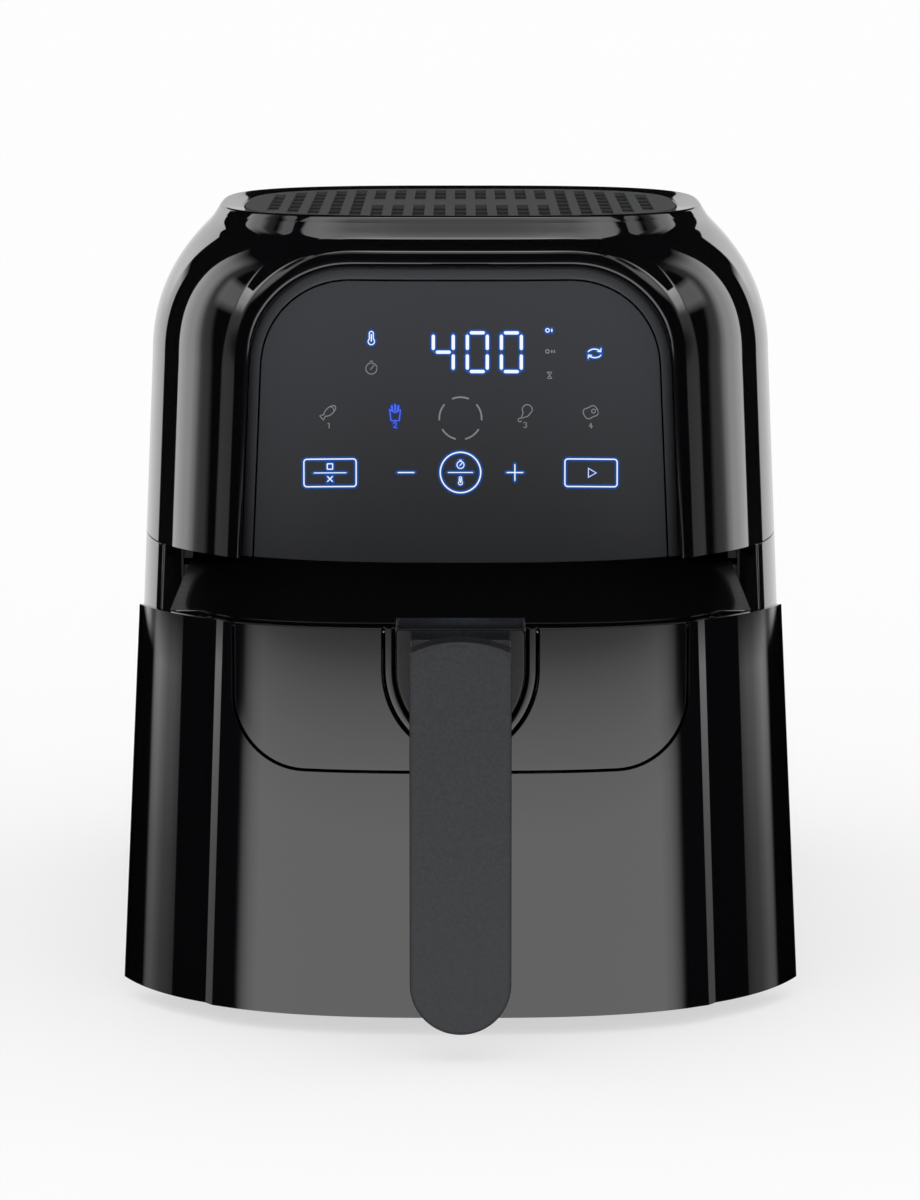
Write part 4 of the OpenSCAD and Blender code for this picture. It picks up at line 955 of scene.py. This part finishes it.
for loop in loops:
    made = [plate.verts.new((x / 1000, y / 1000, GRILLE_TOP / 1000)) for x, y in loop]
    for a, b in zip(made, made[1:] + made[:1]):
        plate.edges.new((a, b))
bmesh.ops.triangle_fill(plate, edges=plate.edges[:], use_beauty=True, use_dissolve=False)
bmesh.ops.recalc_face_normals(plate, faces=plate.faces)
if plate.faces[0].normal.z < 0:
    bmesh.ops.reverse_faces(plate, faces=plate.faces)
mesh = bpy.data.meshes.new("air_grille")
plate.to_mesh(mesh)
plate.free()
grille = placed("air_grille", mesh)
matte = grained("matte_textured_ABS", "#505151", 2.2, 0.02, (0.55, 0.7), 3.0, Roughness=0.6, IOR=1.5)
thicken(grille, 2.2, 0.25)
grille.data.materials.append(matte)
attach(grille, "housing")
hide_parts("top_grille")
BAR_PITCH, BAR_W, BAR_TOP, BAR_H = 23.0, 10.0, 304.5, 1.2
boxes, faces = [], []
for x, low, high in slots:
    rows = max(1, round((high - low) / BAR_PITCH))
    for k in range(rows):
        y = low + (high - low) * (k + 0.5) / rows
        corner = np.array([[x + u * (SLOT / 2 + 0.15), y + v * BAR_W / 2, BAR_TOP - w * BAR_H]
                           for w in (0, 1) for u, v in ((-1, -1), (1, -1), (1, 1), (-1, 1))])
        n = 8 * len(boxes)
        boxes.append(corner / 1000)
        faces += [(n, n + 1, n + 2, n + 3), (n + 7, n + 6, n + 5, n + 4)]
        faces += [(n + a, n + 4 + a, n + 4 + (a + 1) % 4, n + (a + 1) % 4) for a in range(4)]
mesh = bpy.data.meshes.new("grille_cross_bars")
mesh.from_pydata(np.concatenate(boxes).tolist(), [], faces)
cross_bars = placed("grille_cross_bars", mesh)
# the cross bars are the grille's own ABS, coloured darker than the plate as painted shade in the slots
shaded = grained("grille_ABS_painted_shade", "#3a3a3b", 2.2, 0.02, (0.55, 0.7), 3.0, Roughness=0.6, IOR=1.5)
cross_bars.data.materials.append(shaded)
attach(cross_bars, "housing")

# ---- Studio ----
# A white floor in even light. Round the object stands a tent that only reflections see: dark flags, a
# low card in front, a light above, shaded side walls, and cards behind that the back's gloss mirrors.
stage_white, tree, shader = finish("white_paper_sweep", Base_Color=(0.96, 0.96, 0.96, 1), Roughness=0.9)


def reckon(tree, operation, a, b):
    """A math node on two values or (node, output) pairs."""
    return add(tree, "ShaderNodeMath", {0: a, 1: b}, operation=operation)


seen = add(tree, "ShaderNodeLightPath")
direct = reckon(tree, "MAXIMUM", (seen, "Is Camera Ray"), (seen, "Is Glossy Ray"))
direct = reckon(tree, "MAXIMUM", (direct, "Value"), (seen, "Is Transmission Ray"))
share = reckon(tree, "MULTIPLY", (direct, "Value"), 0.6)
glow = add(tree, "ShaderNodeEmission", {"Color": (1, 1, 1, 1), "Strength": 1.0})
mixed = add(tree, "ShaderNodeMixShader", {0: (share, "Value"), 1: (shader, "BSDF"), 2: (glow, "Emission")})
tree.links.new(mixed.outputs["Shader"], tree.nodes["Material Output"].inputs["Surface"])


def card(name, corners, material):
    """A flat card of the studio, from its corners in metres."""
    mesh = bpy.data.meshes.new(name)
    mesh.from_pydata(corners, [], [tuple(range(len(corners)))])
    mesh.materials.append(material)
    thing = placed(name, mesh)
    return thing


def lit(name, *lights):
    """A glowing card's material. Each light gives, for each axis, stops of (position in metres,
    strength): its ramps multiply, and the lights add up. X counts from the middle to both sides."""
    material = bpy.data.materials.new(name)
    material.use_nodes = True
    tree = material.node_tree
    tree.nodes.clear()
    where = add(tree, "ShaderNodeTexCoord")
    apart = add(tree, "ShaderNodeSeparateXYZ", {"Vector": (where, "Object")})
    aside = add(tree, "ShaderNodeMath", {0: (apart, "X")}, operation="ABSOLUTE")
    total = None
    for light in lights:
        strength = None
        for axis, stops in light.items():
            peak = max(v for _, v in stops)
            low, high = stops[0][0], stops[-1][0]
            place = (aside, "Value") if axis == "X" else (apart, axis)
            along = add(tree, "ShaderNodeMapRange", {"Value": place, "From Min": low, "From Max": high})
            ramp = add(tree, "ShaderNodeValToRGB", {"Fac": (along, "Result")})
            while len(ramp.color_ramp.elements) < len(stops):
                ramp.color_ramp.elements.new(0.5)
            for element, (at, v) in zip(ramp.color_ramp.elements, stops):
                element.position = (at - low) / (high - low)
                element.color = (v / peak, v / peak, v / peak, 1)
            level = reckon(tree, "MULTIPLY", (ramp, "Color"), peak)
            strength = reckon(tree, "MULTIPLY", (level, "Value"), (strength, "Value")) if strength else level
        total = reckon(tree, "ADD", (strength, "Value"), (total, "Value")) if total else strength
    shine = add(tree, "ShaderNodeEmission", {"Color": (1, 1, 1, 1), "Strength": (total, "Value")})
    add(tree, "ShaderNodeOutputMaterial", {"Surface": (shine, "Emission")})
    return material


floor = card("floor", [(-30, -30, 0), (30, -30, 0), (30, 30, 0), (-30, 30, 0)], stage_white)
floor.visible_glossy = False
flag = lit("black_flag", {"Z": [(-1, 0.004), (2, 0.004)]})
LOW, TENT, FRONT, BACK = -0.35, 1.05, -0.60, 0.45   # the tent's foot, ceiling, front and back, in metres


def upright_card(name, a, b, material, low=LOW, high=TENT):
    """A vertical card between two points in plan."""
    return card(name, [(*a, low), (*b, low), (*b, high), (*a, high)], material)


def level_card(name, x, y0, y1, z, material):
    """A level card, x to each side and from y0 to y1."""
    return card(name, [(-x, y0, z), (x, y0, z), (x, y1, z), (-x, y1, z)], material)


front_light = lit("front_card", {
    "Z": [(LOW, 1.45), (0.045, 1.40), (0.068, 1.28), (0.086, 1.17), (0.107, 0.94), (0.117, 0.75),
          (0.129, 0.47), (0.145, 0.24), (0.16, 0.08), (0.18, 0.03), (0.29, 0.03)],
    "X": [(0, 1), (0.418, 1), (0.481, 0.79), (0.538, 0.46), (0.585, 0.07), (0.61, 0)]})
top_light = lit("top_light", {
    "Y": [(-0.85, 0.5), (-0.61, 0.6), (-0.546, 0.65), (-0.50, 1.0), (-0.44, 2.0), (-0.38, 2.6),
          (-0.30, 2.6), (-0.28, 0)],
    "X": [(0, 1), (0.15, 1), (0.3, 0.6), (0.45, 0.55), (0.52, 0.5), (0.61, 0.3), (0.64, 0)]})
# across the crest's corner both side walls carry one more soft light between these heights
CREST = [(0.37, 0), (0.43, 1), (0.56, 1), (0.63, 0)]
corner_light = lit("corner_light",
                   {"Y": [(-0.50, 0), (-0.42, 0.8), (-0.22, 0.9)], "Z": CREST},
                   {"Y": [(-0.50, 0), (-0.42, 0.7), (-0.30, 0.7), (-0.22, 0)],
                    "Z": [(0.5, 0), (0.62, 1), (TENT, 1)]})
side_light = lit("side_light",
                 {"Y": [(-0.229, 0.35), (-0.18, 0.52), (-0.136, 0.57), (-0.111, 0.72), (-0.067, 1.0),
                        (-0.035, 0.8), (-0.015, 0.2), (-0.005, 0)],
                  "Z": [(LOW, 0.35), (-0.06, 0.4), (-0.01, 0.5), (0.065, 0.9), (0.083, 1), (0.12, 0)]},
                 {"Y": [(-0.07, 0), (-0.04, 0.2), (0, 0.24), (0.02, 0.35), (0.048, 0.85), (0.094, 1.35),
                        (0.15, 1.33), (0.207, 1.45), (0.25, 1.6), (0.262, 1.6)],
                  "Z": [(0.084, 0), (0.094, 1), (0.5, 1), (0.75, 0.7), (0.95, 0.15), (1.03, 0)]},
                 {"Y": [(-0.229, 0.9), (-0.06, 0.8), (0, 0)], "Z": CREST},
                 {"Y": [(-0.229, 0.8), (-0.1, 0.8), (-0.04, 0)], "Z": [(0.85, 0), (0.92, 1), (TENT, 1)]})
back_light = lit("back_card", {"Z": [(LOW, 0.7), (0.3, 0.7), (0.345, 0.3), (0.36, 0.02)]})
wing_light = lit("back_wing",
                 {"Z": [(LOW, 0.7), (0.26, 0.7), (0.33, 0)]},
                 {"Z": [(0.26, 0), (0.33, 1)],
                  "X": [(0.10, 0.48), (0.2, 0.55), (0.28, 0.7), (0.37, 0.95), (0.4, 0.95)]})
wing_end = lit("back_wing_end", {"Z": [(LOW, 0.7), (0.28, 0.72), (0.36, 0.75), (0.42, 0)]})
tent = [upright_card("front_card", (-0.61, FRONT), (0.61, FRONT), front_light, LOW, 0.29),
        upright_card("front_flag", (-0.61, FRONT), (0.61, FRONT), flag, 0.29, 0.45),
        upright_card("upper_front_flag", (-0.64, -0.86), (0.64, -0.86), flag, 0.45),
        level_card("ceiling_flag", 0.8, -0.9, 0.8, TENT, flag),
        level_card("top_light", 0.64, -0.85, -0.28, TENT - 0.01, top_light),
        level_card("bottom_flag", 0.8, -0.9, 0.8, LOW, flag),
        upright_card("back_card", (-0.10, BACK), (0.10, BACK), back_light, LOW, 0.36),
        upright_card("back_flag", (-0.64, BACK + 0.01), (0.64, BACK + 0.01), flag)]
# the side walls in plan, from the front card round to the back wing
PLAN = [((0.61, FRONT), flag, LOW, 0.45), ((0.64, -0.50), corner_light, LOW, TENT),
        ((0.66, -0.22), corner_light, LOW, TENT), ((0.632, -0.229), side_light, LOW, TENT),
        ((0.57, -0.035), side_light, LOW, TENT), ((0.565, 0), side_light, LOW, TENT),
        ((0.633, 0.207), side_light, LOW, TENT), ((0.603, 0.262), flag, LOW, TENT),
        ((0.475, 0.42), wing_end, LOW, 0.42), ((0.39, 0.434), None, LOW, LOW)]
WING = [(0.10, BACK, LOW), (0.39, 0.434, LOW), (0.39, 0.434, 0.55), (0.34, 0.4415, 0.50), (0.24, BACK, 0.44),
        (0.14, BACK, 0.37), (0.10, BACK, 0.36)]
for side, mark in ((-1, "l"), (1, "r")):
    for k, ((a, material, low, high), (b, *_)) in enumerate(zip(PLAN, PLAN[1:])):
        a, b = (side * a[0], a[1]), (side * b[0], b[1])
        tent.append(upright_card(f"tent_{k}_{mark}", a, b, material, low, high))
    tent.append(upright_card(f"upper_flag_{mark}", (side * 0.61, -0.86), (side * 0.64, -0.50), flag, 0.45))
    tent.append(upright_card(f"wing_flag_{mark}", (side * 0.475, 0.42), (side * 0.55, 0.46), flag))
    tent.append(card(f"back_wing_{mark}", [(side * x, y, z) for x, y, z in WING], wing_light))
for thing in tent:
    thing.visible_camera = False
    thing.visible_diffuse = False
    thing.visible_transmission = False
    thing.visible_shadow = False

world = bpy.data.worlds.new("studio")
bpy.context.scene.world = world
world.use_nodes = True
sky = world.node_tree
sky.nodes["Background"].inputs["Color"].default_value = (1, 1, 1, 1)
sky.nodes["Background"].inputs["Strength"].default_value = 1.0

bpy.context.scene.view_settings.view_transform = "Standard"
